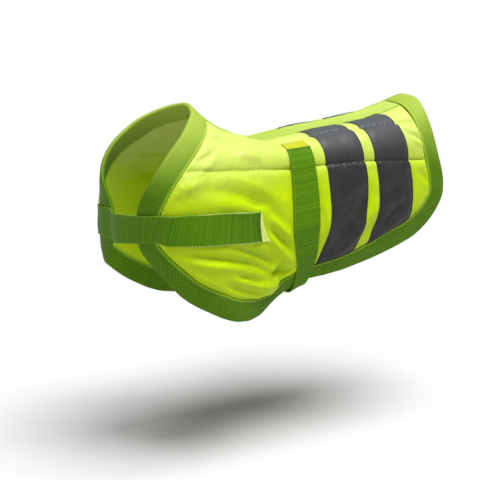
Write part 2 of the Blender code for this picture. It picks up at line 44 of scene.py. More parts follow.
# The worn form: the same sections, girth lines and folds as the solids. A point on the cloth is
# given by its place along the back and its girth, the length down from the spine, left negative.
# sections: place -> points (x, half width, z) from the spine down past the hem
# girth: place, upper quilt line, lower quilt line, hem
# folds: side, place and girth at both ends, bow, width, height
# crest: girth, height of the ridge; crestAlong: place, share of that height
coatForm = {
    "sections": {
        0.0: ((-100, 0, 48), (-102, 12, 46.5), (-108, 25, 42.5), (-121, 39, 34.5), (-139, 52, 21.5),
              (-159, 59, 5.5), (-175, 60, -14), (-184, 54, -32), (-185, 45, -49),
              (-182.5, 37.5, -63), (-180, 34, -80), (-176, 34, -96), (-168, 39, -112),
              (-157, 46, -128)),
        55.0: ((-68, 0, 20.5), (-74, 24, 18), (-88, 48, 11), (-106, 63, -4), (-126, 74, -28),
               (-140, 77, -58), (-146, 76, -90), (-147, 72, -118), (-146, 65, -144),
               (-143, 55, -168)),
        110.0: ((-40, 0, 8), (-44, 30, 7), (-52, 54, 1), (-62, 68, -15), (-77, 77, -45),
                (-88, 80, -82), (-92, 80, -120), (-91, 79, -152), (-88, 77, -182),
                (-85, 73, -205)),
        172.0: ((-8, 0, -1.5), (-7, 30, -1.5), (-7, 50, -3.5), (-7, 60, -9), (-8, 66, -22),
                (-10, 72.5, -50), (-12, 77.5, -90), (-12, 74, -120), (-12, 67, -150),
                (-12, 58, -175)),
        220.0: ((40, 0, 3), (40, 30, 3.5), (40, 48, 1), (40, 60, -8), (40, 67, -22),
                (40, 73.5, -50), (38, 78.5, -78), (31, 77, -105), (24, 72, -127), (18, 67, -146),
                (12, 60, -168)),
        334.0: ((156, 0, 15), (156, 28, 14.5), (157, 46, 9), (158, 58, -5), (160, 65, -28),
                (163, 68.5, -57), (163, 69, -75), (160, 67, -100), (153, 65, -126),
                (145, 62, -148)),
        390.0: ((214, 0, 33.5), (215, 15, 32), (213, 27, 25.5), (211, 47, -0.5), (213, 59, -33),
                (217, 62.5, -57), (216, 62.5, -81), (213, 61, -105), (210, 58, -125)),
    },
    "girth": (
        (0, 60, 122, 214), (2, 60, 121, 219), (10, 58, 118, 225), (20, 56, 112, 229),
        (40, 53, 103, 232), (55, 50, 97, 237), (85, 45, 88, 244), (100, 43, 86, 249),
        (112, 42, 84, 251.5), (126, 41, 81, 250), (140, 40, 79, 243), (150, 40, 78, 232),
        (160, 39, 77, 222), (172, 39, 77, 214), (187, 39, 77, 211), (202, 40, 78, 210),
        (220, 41, 80, 211), (245, 42, 82, 213), (270, 43, 84, 211), (300, 45, 87, 202),
        (334, 47, 91, 189), (350, 48, 93, 183), (365, 50, 95, 173), (375, 51, 97, 164),
        (385, 52, 98, 151), (388, 52, 99, 145), (390, 53, 99, 139),
    ),
    "folds": (
        ("both", 45, 128, 168, 150, 22, 24, 3.2), ("both", 40, 112, 160, 124, 22, 20, -2.4),
        ("left", 108, 176, 162, 204, 4, 16, -2.0), ("left", 118, 198, 158, 214, 3, 14, 1.8),
        ("right", 100, 170, 160, 206, 6, 18, -2.0), ("left", 272, 176, 330, 134, 4, 16, -1.8),
        ("right", 276, 128, 326, 172, 4, 18, -1.6), ("both", 262, 118, 280, 168, -4, 14, -2.0),
        ("both", 92, -30, 118, 34, 0, 18, -1.4), ("right", -10, 64, -10, 262, 0, 44, -16.0),
        ("right", 31, 150, 34, 300, 0, 40, 8.0),
    ),
    "crest": ((-24, 0), (-15, 0.3), (0, 1.2), (15, 1.0), (30, -4.6), (45, -8.0), (60, -7.0),
              (75, -3.5), (95, 0)),
    "crestAlong": ((110, 0), (130, 0.5), (150, 1), (345, 1), (366, 0.6), (388, 0.2)),
    "length": 390.0,
    "originPlace": 180.0,
}


def naturalSpline(knots, values, at):
    # Natural cubic through rows of values, one column for each place in at: second derivatives
    # solve the usual three-term system, and each stretch is the cubic between its two knots.
    count = len(knots)
    step = np.diff(knots)
    matrix = np.eye(count)
    right = np.zeros((count, values[0].size))
    flat = values.reshape(count, -1)
    for i in range(1, count - 1):
        matrix[i, i - 1:i + 2] = step[i - 1], 2 * (step[i - 1] + step[i]), step[i]
        right[i] = 6 * ((flat[i + 1] - flat[i]) / step[i] - (flat[i] - flat[i - 1]) / step[i - 1])
    bend = np.linalg.solve(matrix, right).reshape(values.shape)
    k = np.clip(np.searchsorted(knots, at, side="right") - 1, 0, count - 2)
    column = np.arange(len(at))
    after = (at - knots[k])[:, None]
    wide = step[k][:, None]
    before = wide - after
    low, high = values[k, column], values[k + 1, column]
    bendLow, bendHigh = bend[k, column], bend[k + 1, column]
    return ((bendLow * before ** 3 + bendHigh * after ** 3) / (6 * wide)
            + (low / wide - bendLow * wide / 6) * before
            + (high / wide - bendHigh * wide / 6) * after)


def sectionCurve(points):
    # Fine curve through a section mirrored over the spine, with its arc lengths
    half = np.array(points, float)
    full = np.vstack([half[:0:-1] * [1, -1, 1], half])
    chord = np.r_[0, np.cumsum(np.linalg.norm(np.diff(full, axis=0), axis=1))]
    fine = np.linspace(chord[len(half) - 1], chord[-1], 900)
    curve = naturalSpline(chord, np.repeat(full[:, None], len(fine), axis=1), fine)
    arc = np.r_[0, np.cumsum(np.linalg.norm(np.diff(curve, axis=0), axis=1))]
    return arc, curve


knotPlaces = np.array(list(coatForm["sections"]))
knotCurves = [sectionCurve(points) for points in coatForm["sections"].values()]


def smoothForm(u, t):
    # Inside of the coat: every section read at arc length |t|, then a cubic through the sections
    # at place u; the left side, negative t, is the mirror of the right
    u, t = np.broadcast_arrays(np.asarray(u, float), np.asarray(t, float))
    shape, u, t = u.shape, u.ravel(), t.ravel()
    girth = np.abs(t)
    rows = np.zeros((len(knotPlaces), len(u), 3))
    for i, (arc, curve) in enumerate(knotCurves):
        for axis in range(3):
            rows[i, :, axis] = np.interp(girth, arc, curve[:, axis])
        onward = (curve[-1] - curve[-9]) / np.linalg.norm(curve[-1] - curve[-9])
        rows[i] += np.maximum(girth - arc[-1], 0)[:, None] * onward
    points = naturalSpline(knotPlaces, rows, u)
    points[:, 1] *= np.sign(t)
    return points.reshape(shape + (3,)) - formOrigin


formOrigin = np.zeros(3)
formOrigin = smoothForm([coatForm["originPlace"]], [0.0])[0]


def unit(vectors):
    return vectors / np.maximum(np.linalg.norm(vectors, axis=-1, keepdims=True), 1e-9)


def normalOf(grid):
    # Unit cross product of the two grid directions
    return unit(np.cross(np.gradient(grid, axis=0), np.gradient(grid, axis=1)))


def smoothStep(low, high, x):
    # Nought below low, one above high, and 3 s^2 - 2 s^3 of the share s between them
    share = np.clip((x - low) / (high - low), 0, 1)
    return share * share * (3 - 2 * share)


def softFold(u, t, u0, t0, u1, t1, bow, width, height, sharp=0.0):
    # Height of one fold: a bell across a bowed line from (u0, t0) to (u1, t1), fading at its
    # ends; sharp squeezes the side of the bell that faces down the girth
    run = np.array([u1 - u0, t1 - t0], float)
    length = np.hypot(*run)
    run /= length
    s = ((u - u0) * run[0] + (t - t0) * run[1]) / length
    off = -(u - u0) * run[1] + (t - t0) * run[0] + bow * 4 * s * (1 - s)
    lengthwise = np.sin(np.pi * np.clip(s, 0, 1)) ** 1.2
    half = width * 0.5 * np.where(off > 0, 1 - sharp, 1.0)
    return height * lengthwise * np.exp(-(off / half) ** 2)


def sideMask(side, t):
    # One on the side that a row of a table names, nought on the other
    if side == "left":
        return (t < 0).astype(float)
    if side == "right":
        return (t > 0).astype(float)
    return np.ones(np.shape(t))


def foldHeight(u, t):
    # Sum of the folds that the solids have too; a fold with a negative girth is read by signed girth
    height = np.zeros(np.shape(u))
    for side, u0, t0, u1, t1, bow, width, rise in coatForm["folds"]:
        girth = t if t0 < 0 else np.abs(t)
        height += sideMask(side, t) * softFold(u, girth, u0, t0, u1, t1, bow, width, rise)
    return height + crestHeight(u, t)


def crestHeight(u, t):
    # The back rolls a little toward the left: its right shoulder is lower than the left one
    place, rise = np.array(coatForm["crest"], float).T
    fine = np.linspace(place[0], place[-1], 240)
    curve = naturalSpline(place, np.repeat(rise[:, None, None], len(fine), axis=1), fine)[:, 0]
    along = np.array(coatForm["crestAlong"], float)
    return np.interp(t, fine, curve) * np.interp(u, along[:, 0], along[:, 1])


# The form is worked out once on a lattice one millimetre apart, and read from it everywhere
latticeU = np.arange(-4.0, 395.0)
latticeT = np.arange(-258.0, 259.0)
gridU, gridT = np.meshgrid(latticeU, latticeT, indexing="ij")
plainForm = smoothForm(gridU, gridT)
insideForm = plainForm + foldHeight(gridU, gridT)[..., None] * normalOf(plainForm)
insideNormal = normalOf(insideForm)


def readLattice(field, u, t):
    # Bilinear reading of a lattice field at place u and girth t
    i = np.clip(np.asarray(u, float) - latticeU[0], 0, len(latticeU) - 1.001)
    j = np.clip(np.asarray(t, float) - latticeT[0], 0, len(latticeT) - 1.001)
    i, j = np.broadcast_arrays(i, j)
    row, column = i.astype(int), j.astype(int)
    a, b = i - row, j - column
    if field.ndim == 3:
        a, b = a[..., None], b[..., None]
    return ((field[row, column] * (1 - b) + field[row, column + 1] * b) * (1 - a)
            + (field[row + 1, column] * (1 - b) + field[row + 1, column + 1] * b) * a)


def girthLine(index, u):
    # Girth of a line at place u: upper quilt line 1, lower quilt line 2, hem 3
    table = np.array(coatForm["girth"], float)
    return np.interp(u, table[:, 0], table[:, index])


def edgeLoop(count):
    # The coat's edge once round, evenly spaced on the cloth: neck, right hem, rear, left hem
    steps = np.linspace(0, 1, 400, endpoint=False)
    length = coatForm["length"]
    neck, rear = girthLine(3, 0.0), girthLine(3, length)
    u = np.concatenate([steps * 0, steps * length, steps * 0 + length, (1 - steps) * length])
    t = np.concatenate([(steps * 2 - 1) * neck, girthLine(3, steps * length),
                        (1 - steps * 2) * rear, -girthLine(3, (1 - steps) * length)])
    points = readLattice(insideForm, u, t)
    closed = np.vstack([points, points[:1]])
    arc = np.r_[0, np.cumsum(np.linalg.norm(np.diff(closed, axis=0), axis=1))]
    even = np.linspace(0, arc[-1], count, endpoint=False)
    turn = np.r_[np.arange(len(u)), len(u)]
    place = np.interp(even, arc, turn)
    near = place.astype(int) % len(u)
    after = (near + 1) % len(u)
    part = place - place.astype(int)
    return (u[near] * (1 - part) + u[after] * part, t[near] * (1 - part) + t[after] * part,
            arc[-1])


def depthField():
    # Distance of every lattice point from the coat's edge: worked out on one half of a coarse
    # lattice, then interpolated to the fine one and mirrored
    loopU, loopT, _ = edgeLoop(560)
    edge = readLattice(plainForm, loopU, loopT)
    coarseU, coarseT = np.arange(-4.0, 395.0, 3.0), np.arange(0.0, 259.0, 3.0)
    some = smoothForm(*np.meshgrid(coarseU, coarseT, indexing="ij"))
    nearest = np.array([np.linalg.norm(row[:, None] - edge[None], axis=2).min(axis=1)
                        for row in some])
    along = np.array([np.interp(latticeU, coarseU, column) for column in nearest.T]).T
    return np.array([np.interp(np.abs(latticeT), coarseT, row) for row in along])


edgeDepth = depthField()


def insetGirth(u, depth):
    # Girth at which each place u lies the given depth in from the hem, right side
    steps = np.arange(0.0, 80.0, 0.5)
    start = girthLine(3, u)
    trial = start[:, None] - steps
    inward = readLattice(edgeDepth, np.broadcast_to(u[:, None], trial.shape), trial)
    depth = np.broadcast_to(depth, start.shape)
    k = np.maximum(np.argmax(inward >= depth[:, None], axis=1), 1)
    row = np.arange(len(start))
    before, after = inward[row, k - 1], inward[row, k]
    part = np.clip((depth - before) / np.maximum(after - before, 1e-6), 0, 1)
    return start - steps[k - 1] - 0.5 * part


print("form of the coat ready")

# Padding of the panel: puffs between the stitched lines, pressed flat under the straps
# lap: place, how far the padding laps over the binding at the hem
# puffs: heights over the stitched wall, from the spine out; reach: how far a puff takes to rise
# tapeEdges: places of the sewing near the tapes' edges, which dips the puffs by the share tapeDip
# creases: side, place and girth at both ends, bow, width, height, sharpness of the lower side
# lobe: places and top girth of the swell in the left flap, and its height
padding = {
    "stitchedWall": 2.2,
    "boundWall": 1.5,
    "spineHalf": 15.0,
    "seamDepth": 24.8,
    "lap": ((128, 0), (140, 6), (149, 12), (157, 12), (159.5, 7), (168, 8), (176, 8),
            (205, 8), (240, 7), (280, 4), (312, 0)),
    "puffs": (0.8, 3.4, 4.2, 3.8),
    "reach": (9.0, 9.0),
    "groove": 0.8,
    "puckers": 0.62,
    "crinkles": 0.42,
    "tapeEdges": (221.5, 268.5, 285.5, 332.5),
    "tapeDip": 0.3,
    "creases": (
        ("left", 48, 124, 174, 146, 20, 15, -7.6, 0), ("left", 52, 106, 168, 116, 12, 17, 2.8, 0),
        ("left", 60, 134, 172, 152, 18, 16, 2.0, 0), ("left", 132, 126, 178, 172, 0, 10, -6.4, 0),
        ("left", 128, 120, 178, 158, 0, 9, 2.8, 0), ("left", 136, 140, 178, 184, -1, 15, 4.2, 0.3),
        ("left", 102, 167, 162, 184, 3, 8, -6.0, 0), ("left", 104, 172, 152, 186, 4, 9, 2.4, 0),
        ("left", 42, 190, 140, 183, 3, 7.5, -6.0, 0), ("left", 52, 196, 128, 191, 2, 10, 3.0, 0.3),
        ("left", 145, 199, 161, 174, 3.4, 6.5, 4.0, 0), ("left", 150, 200, 166, 179, 3, 7, -5.4, 0),
        ("left", 146, 191, 180, 186, -1, 7, -5.2, 0), ("left", 110, 197, 152, 202, -1, 5, -5.2, 0),
        ("left", 108, 205, 156, 208, 1, 8, 2.6, 0.3), ("left", 50, 202, 102, 216, -2, 10, 3.0, 0.2),
        ("left", 50, 216, 96, 218, 1, 8, -3.0, 0), ("left", 94, 208, 138, 215, -2, 8, -3.2, 0),
        ("left", 20, 138, 62, 104, 0, 14, 3.4, 0), ("left", 36, 108, 60, 78, -4, 11, 2.4, 0.2),
        ("left", 30, 96, 52, 70, -3, 8, -2.0, 0), ("left", 84, 66, 128, 68, -3, 12, 3.0, 0.2),
        ("left", 76, 52, 120, 58, 3, 9, -3.4, 0), ("left", 140, 40, 168, 64, 2, 9, -3.2, 0),
        ("left", 272, 104, 226, 184, 5, 16, -4.2, 0), ("left", 282, 124, 240, 194, 5, 13, 2.8, 0.2),
        ("left", 286, 178, 334, 128, 4, 6, -1.6, 0), ("left", 286, 188, 336, 142, 4, 12, 1.8, 0),
        ("left", 214, 190, 262, 195, -2, 6, 2.4, 0.5), ("left", 212, 197, 252, 200, -1, 7, -6.5, 0),
        ("left", 326, 46, 378, 74, -2, 6, 2.2, 0), ("left", 336, 66, 382, 82, -2, 6, 2.0, 0),
        ("left", 332, 56, 378, 78, -2, 6, -2.0, 0), ("left", 340, 104, 364, 128, 3, 8, -1.8, 0),
        ("left", 208, 118, 222, 172, 3, 8, 2.0, 0), ("left", 204, 100, 214, 150, -2, 6, -1.8, 0),
        ("right", 40, 128, 150, 160, 14, 12, 3.6, 0.4), ("right", 44, 116, 158, 144, 15, 14, -6.2, 0),
        ("right", 70, 176, 150, 190, 4, 9, -3.4, 0), ("right", 76, 185, 148, 205, 4, 11, 3.4, 0.3),
        ("right", 124, 120, 168, 160, -3, 8, -3.8, 0), ("right", 130, 128, 172, 172, -3, 10, 3.6, 0.3),
        ("right", 150, 190, 168, 186, 1, 7, -4.6, 0), ("right", 36, 106, 62, 76, -4, 11, 2.2, 0.2),
        ("right", 88, 62, 134, 70, -3, 12, 2.0, 0), ("right", 80, 50, 122, 56, 3, 9, -2.2, 0),
        ("right", 276, 176, 320, 124, -5, 8, -2.8, 0), ("right", 230, 120, 268, 180, 4, 14, -3.4, 0),
        ("right", 330, 48, 380, 70, -2, 6, 2.2, 0), ("right", 338, 96, 366, 130, 2, 8, -2.0, 0),
        ("right", 206, 108, 218, 166, 2, 8, 2.0, 0), ("right", 22, 170, 48, 196, 2, 10, -1.8, 0),
    ),
    "lobe": (126.0, 158.0, 186.0, 2.4),
}

# Straps as they lie on the coat
# chestEdges: place, girth of the upper edge, girth of the lower edge
# sewnLower: place, how much lower the chest strap lies on the right flap, where it is sewn
# endSlant: how far the lower corner of its end lies behind the upper one; bulge: sag in front
# bellySkew: girths between which the belly strap leans toward the rear, and how far
# patchPast: how far the loop patches go on past the straps' ends
straps = {
    "width": 32.0,
    "thick": 1.4,
    "chestEdges": ((0, 173, 208), (25, 159, 192.5), (50, 147, 179.5), (90, 134.5, 168),
                   (118, 127, 160), (134, 124, 155.5), (172, 118, 146)),
    "sewnLower": ((0, 12), (60, 12), (110, 0)),
    "chestEnd": 131.0,
    "chestSewnEnd": 57.0,
    "endSlant": 6.5,
    "bellyFront": 172.0,
    "bellyTop": 58.5,
    "bellySewnTop": 146.0,
    "bulge": -11.0,
    "drop": 0.5,
    "bellySkew": (136.0, 202.0, 12.0),
    "patchPast": 10.0,
}


def seamAt(u, t=200.0):
    # How far in from the edge the padding starts: the seam's depth less the lap over the hem; the
    # girth may be left out by the hem
    place, lap = np.array(padding["lap"], float).T
    return padding["seamDepth"] - np.interp(u, place, lap) * smoothStep(150, 170, np.abs(t))


def softNoise(u, t, size, seed):
    # Smooth value noise: random heights on a net of the given mesh size, blended by smooth steps
    rng = np.random.default_rng(seed)
    net = rng.uniform(-1, 1, (int(420 / size) + 6, int(540 / size) + 6))
    x = np.clip((np.asarray(u) + 10) / size, 0, net.shape[0] - 2.001)
    y = np.clip((np.asarray(t) + 265) / size, 0, net.shape[1] - 2.001)
    x, y = np.broadcast_arrays(x, y)
    i, j = x.astype(int), y.astype(int)
    a, b = smoothStep(0, 1, x - i), smoothStep(0, 1, y - j)
    return ((net[i, j] * (1 - b) + net[i, j + 1] * b) * (1 - a)
            + (net[i + 1, j] * (1 - b) + net[i + 1, j + 1] * b) * a)


def chestEdge(index, u, side=-1):
    # Girth of the chest strap's upper (1) or lower (2) edge; it is sewn lower on the right flap
    table, lower = np.array(straps["chestEdges"], float), np.array(straps["sewnLower"], float)
    drop = np.interp(u, lower[:, 0], lower[:, 1]) * (np.asarray(side) > 0)
    return np.interp(u, table[:, 0], table[:, index]) + drop


def bellySkew(girth):
    # How far the belly strap leans toward the rear on its way down
    start, end, lean = straps["bellySkew"]
    return lean * smoothStep(start, end, girth)


def pressed(u, t):
    # One where a strap lies on the panel, zero away from it
    girth = np.abs(t)
    chestEnd = np.where(t < 0, straps["chestEnd"] + straps["patchPast"], straps["chestSewnEnd"])
    chest = (smoothStep(-7, 1, girth - chestEdge(1, u, t))
             * smoothStep(-7, 1, chestEdge(2, u, t) - girth) * smoothStep(-6, 2, chestEnd - u))
    front = straps["bellyFront"] + bellySkew(girth)
    bellyTop = np.where(t < 0, straps["bellyTop"] - straps["patchPast"], straps["bellySewnTop"])
    belly = (smoothStep(-6, 1, u - front) * smoothStep(-6, 1, front + straps["width"] - u)
             * smoothStep(-5, 2, girth - bellyTop))
    return np.maximum(chest, belly)


def roundRise(x):
    # Quarter circle from nought to one
    x = np.clip(x, 0, 1)
    return np.sqrt(1 - (1 - x) ** 2)


def creaseField(u, t):
    # Sum of the creases, each a soft fold on its own side, and of the swell of the left flap
    height = np.zeros(np.shape(u))
    girth = np.abs(t)
    for side, u0, t0, u1, t1, bow, width, rise, sharp in padding["creases"]:
        height += sideMask(side, t) * softFold(u, girth, u0, t0, u1, t1, bow, width, rise, sharp)
    start, end, top, rise = padding["lobe"]
    lobe = smoothStep(start, start + 14, u) * smoothStep(end + 2, end - 3, u)
    height += rise * lobe * smoothStep(top, top + 14, girth) * sideMask("left", t)
    return height


creaseLattice = creaseField(gridU, gridT)


def puckerWave(x, seed, scale=1.0):
    # Uneven gathers along a seam: three sines of unlike pitch, lengthened and shortened by noise;
    # the noise net is 400 mm long, so a longer seam is read from it at a smaller scale
    bent = x / scale + 3.0 * softNoise(x, np.zeros(np.shape(x)), 19.0 * scale, seed)
    swell = 0.6 + 0.4 * softNoise(x, np.zeros(np.shape(x)), 31.0 * scale, seed + 1)
    return swell * (0.6 * np.sin(bent * 0.83) + 0.4 * np.sin(bent * 1.37 + 1.0)
                    + 0.3 * np.sin(bent * 0.41 + 2.0))


def seamGathers():
    # Gathers along the binding's seam, square to it: each lattice point takes the place along the
    # edge of the edge point nearest to it, and the wave there
    loopU, loopT, length = edgeLoop(1600)
    edge = readLattice(plainForm, loopU, loopT)
    seam = edgeDepth - seamAt(gridU, gridT)
    near = np.argwhere((seam > -2) & (seam < 24))
    points = plainForm[near[:, 0], near[:, 1]]
    square = (edge ** 2).sum(-1)
    best = np.concatenate([np.argmin(square - 2 * part @ edge.T, axis=1)
                           for part in np.array_split(points, 60)])
    wave = np.zeros(seam.shape)
    wave[near[:, 0], near[:, 1]] = puckerWave(best / 1600 * length * 0.24, 23, 0.24)
    return wave * np.exp(-(np.maximum(seam - 2, 0) / 7.0) ** 2) * (seam > 0)


def wallHeight(u, t):
    # Height of the panel's outside over its inside: puffs between the stitched lines, grooves
    # along them, gathers beside them, creases and a light crinkle all over
    u, t = np.broadcast_arrays(np.asarray(u, float), np.asarray(t, float))
    girth = np.abs(t)
    depth = readLattice(edgeDepth, u, t)
    half = padding["spineHalf"]
    upper, lower = girthLine(1, u), girthLine(2, u)
    puffs = padding["puffs"]
    spine = puffs[0] * np.sin(np.pi * np.clip(girth / half, 0, 1)) ** 0.6
    back = puffs[1] * np.sin(np.pi * np.clip((girth - half) / (upper - half), 0, 1)) ** 0.55
    side = puffs[2] * np.sin(np.pi * np.clip((girth - upper) / (lower - upper), 0, 1)) ** 0.55
    flank = puffs[3] * roundRise((girth - lower) / padding["reach"][0])
    puff = np.where(girth < half, spine, np.where(girth < upper, back,
                                                  np.where(girth < lower, side, flank)))
    seam = depth - seamAt(u, t)
    puff = puff * roundRise(seam / padding["reach"][1])
    for edge in padding["tapeEdges"]:
        puff = puff * (1 - padding["tapeDip"] * np.exp(-((u - edge) / 3.0) ** 2))
    flat = pressed(u, t)
    puff = puff * (1 - 0.25 * flat)
    groove = sum(np.exp(-((girth - line) / 1.2) ** 2) for line in (upper, lower))
    beside = sum(np.exp(-((girth - line) / 6.0) ** 2) for line in (upper, lower))
    gathers = puckerWave(u, 11) * beside + readLattice(gatherLattice, u, t)
    loose = smoothStep(0, 4, seam) * (1 - flat)
    wall = padding["stitchedWall"] + puff - padding["groove"] * groove * smoothStep(0, 3, seam)
    wall = wall + padding["puckers"] * gathers * loose
    crinkle = (softNoise(u, t, 17.0, 3) + 0.6 * softNoise(u, t, 9.0, 4)
               + 0.35 * softNoise(u, t, 5.0, 5))
    wall = wall + padding["crinkles"] * crinkle * loose
    wall = wall + readLattice(creaseLattice, u, t) * smoothStep(-1, 5, seam) * (1 - 0.9 * flat)
    bound = smoothStep(0.5, -1.5, seam)
    return wall * (1 - bound) + padding["boundWall"] * bound


gatherLattice = seamGathers()


def onPanel(u, t, lift):
    # Point over the panel's outside
    return readLattice(insideForm, u, t) + readLattice(insideNormal, u, t) * (
        wallHeight(u, t) + lift)[..., None]


# Mesh helpers
def gridFaces(rows, columns, offset=0, flip=False):
    # Quads between neighbours of a grid whose points are numbered row by row
    corner = (np.arange(rows - 1)[:, None] * columns + np.arange(columns - 1)).ravel() + offset
    faces = np.stack([corner, corner + columns, corner + columns + 1, corner + 1], 1)
    return faces[:, ::-1] if flip else faces


def borderLoop(rows, columns):
    # Numbers of a grid's border points, once round
    index = np.arange(rows * columns).reshape(rows, columns)
    return np.concatenate([index[:-1, 0], index[-1, :-1], index[:0:-1, -1], index[0, :0:-1]])


def onBorder(rows, columns):
    row, column = np.arange(rows)[:, None], np.arange(columns)
    return (row == 0) | (row == rows - 1) | (column == 0) | (column == columns - 1)


def makeMesh(name, points, faces, uv, material):
    # points in millimetres; uv has one pair for each point, laid on every corner that uses it
    mesh = bpy.data.meshes.new(name)
    mesh.from_pydata((points * mm).tolist(), [], faces.tolist())
    layer = mesh.uv_layers.new(name="cloth")
    corners = np.zeros(len(mesh.loops), np.int32)
    mesh.loops.foreach_get("vertex_index", corners)
    layer.data.foreach_set("uv", np.ascontiguousarray(uv[corners], np.float32).ravel())
    mesh.polygons.foreach_set("use_smooth", np.ones(len(mesh.polygons), bool))
    mesh.materials.append(material)
    mesh.update()
    piece = bpy.data.objects.new(name, mesh)
    bpy.context.scene.collection.objects.link(piece)
    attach(piece, "root")
    return piece


def slab(name, low, high, uv, material):
    # Closed sheet between two grids of points, with a rim round their border
    rows, columns = low.shape[:2]
    count = rows * columns
    loop = borderLoop(rows, columns)
    after = np.roll(loop, -1)
    rim = np.stack([loop, after, after + count, loop + count], 1)
    faces = np.vstack([gridFaces(rows, columns, count), gridFaces(rows, columns, 0, True), rim])
    points = np.vstack([low.reshape(-1, 3), high.reshape(-1, 3)])
    return makeMesh(name, points, faces, np.tile(uv.reshape(-1, 2), (2, 1)), material)


def clothOnPanel(name, u, t, lift, thick, material, relief=None):
    # Thin cloth over the panel; its border is thinned so that the edge rounds over
    height = thick * np.where(onBorder(*u.shape), 0.55, 1.0)
    if relief is not None:
        height = height + relief
    uv = np.stack([u, t], -1)
    return slab(name, onPanel(u, t, lift), onPanel(u, t, lift + height), uv, material)


def finerEnds(start, end, count, edge=0.35):
    # Even steps, with a short step of the given edge at both ends
    inner = np.linspace(start, end, count)
    short = math.copysign(edge, end - start)
    return np.concatenate([[start], [start + short], inner[1:-1], [end - short], [end]])


def addNode(tree, kind, settings=None, **inputs):
    # Node with settings on itself, and inputs by name: a socket is linked, a value is set
    made = tree.nodes.new(kind)
    for key, value in (settings or {}).items():
        setattr(made, key, value)
    for key, value in inputs.items():
        name = key.replace("_", " ")
        socket = made.inputs[int(key[1:])] if key[0] == "i" and key[1:].isdigit() else made.inputs[name]
        if isinstance(value, bpy.types.NodeSocket):
            tree.links.new(value, socket)
        else:
            socket.default_value = value
    return made


def maths(tree, operation, a, b=0.0, c=0.0):
    return addNode(tree, "ShaderNodeMath", {"operation": operation}, i0=a, i1=b, i2=c).outputs[0]


def mixColours(tree, factor, a, b, blend="MIX"):
    made = tree.nodes.new("ShaderNodeMix")
    made.data_type = "RGBA"
    made.blend_type = blend
    for index, value in ((0, factor), (6, a), (7, b)):
        if isinstance(value, bpy.types.NodeSocket):
            tree.links.new(value, made.inputs[index])
        else:
            made.inputs[index].default_value = value
    return made.outputs[2]


def clothPlaces(tree):
    # The piece's own cloth map, in millimetres, as a vector and its two parts
    source = addNode(tree, "ShaderNodeUVMap", {"uv_map": "cloth"}).outputs[0]
    parts = addNode(tree, "ShaderNodeSeparateXYZ", Vector=source)
    return source, parts.outputs[0], parts.outputs[1]


def noise(tree, vector, scale, detail=2.0, roughness=0.5):
    return addNode(tree, "ShaderNodeTexNoise", Vector=vector, Scale=scale, Detail=detail,
                   Roughness=roughness).outputs["Fac"]


def wave(tree, along, pitch, shift=0.0):
    # Nought to one sine of the given pitch in millimetres
    turned = maths(tree, "MULTIPLY_ADD", along, 2 * math.pi / pitch, shift)
    return maths(tree, "MULTIPLY_ADD", maths(tree, "SINE", turned), 0.5, 0.5)


def spread(tree, value, low, high):
    # Smooth step of a value, from nought at low to one at high
    return addNode(tree, "ShaderNodeMapRange", {"interpolation_type": "SMOOTHSTEP"}, Value=value,
                   From_Min=low, From_Max=high).outputs[0]


def startMaterial(name, **sockets):
    # Material with the given values on its shader's own sockets
    material = bpy.data.materials.new(name)
    material.use_nodes = True
    shader = material.node_tree.nodes["Principled BSDF"]
    for key, value in sockets.items():
        shader.inputs[key.replace("_", " ")].default_value = value
    return material, material.node_tree, shader


def bumpInto(tree, shader, *layers):
    # Each layer is a height and its depth in millimetres, the coarsest first
    normal = None
    for height, depth in layers:
        bump = addNode(tree, "ShaderNodeBump", Height=height, Strength=1.0, Distance=depth * mm)
        if normal is not None:
            tree.links.new(normal, bump.inputs["Normal"])
        normal = bump.outputs[0]
    tree.links.new(normal, shader.inputs["Normal"])


def paint(*colour):
    return (*colour, 1.0)


def paintTopHighlight(tree, colour, pale, share, low, high):
    # Painted highlight along the back: the cloth painted paler toward the top of the coat, where the
    # overhead light falls, in the colour pale at the given share; mixed in by height over the coat's
    # own origin, in metres, its edge broken by slow noise
    place = addNode(tree, "ShaderNodeTexCoord").outputs["Object"]
    height = addNode(tree, "ShaderNodeSeparateXYZ", Vector=place).outputs[2]
    uneven = maths(tree, "MULTIPLY_ADD", noise(tree, place, 22.0, 2.0), 0.024, height)
    # Share of the painted highlight: nought low on the coat, one near its top
    highlightShare = spread(tree, uneven, low + 0.012, high + 0.012)
    return mixColours(tree, maths(tree, "MULTIPLY", highlightShare, share), colour, paint(*pale))


def nylonCloth():
    # Fluorescent padded nylon: close plain weave, slight crinkle, a faint sheen, and a painted
    # highlight paler toward the top
    material, tree, shader = startMaterial(
        "fluorescentNylon", Roughness=0.38, Specular_IOR_Level=0.16, Sheen_Weight=0.02,
        Sheen_Roughness=0.3, Sheen_Tint=paint(1.0, 0.95, 0.7))
    places, x, y = clothPlaces(tree)
    broad = noise(tree, places, 0.035, 3.0)
    colour = mixColours(tree, spread(tree, broad, 0.35, 0.7), paint(0.385, 0.55, 0.0),
                        paint(0.435, 0.60, 0.0))
    fine = noise(tree, places, 0.6, 2.0)
    colour = mixColours(tree, maths(tree, "MULTIPLY", fine, 0.25), colour,
                        paint(0.34, 0.465, 0.0))
    # Painted highlight: the yellow painted paler toward the top of the coat, where the overhead light
    # falls
    colour = paintTopHighlight(tree, colour, (0.56, 0.62, 0.18), 0.75, -0.048, 0.02)
    tree.links.new(colour, shader.inputs["Base Color"])
    weave = maths(tree, "MULTIPLY", wave(tree, x, 0.7), wave(tree, y, 0.7))
    bumpInto(tree, shader, (noise(tree, places, 0.12, 4.0, 0.55), 0.7),
             (noise(tree, places, 0.5, 2.0), 0.09), (weave, 0.03))
    return material


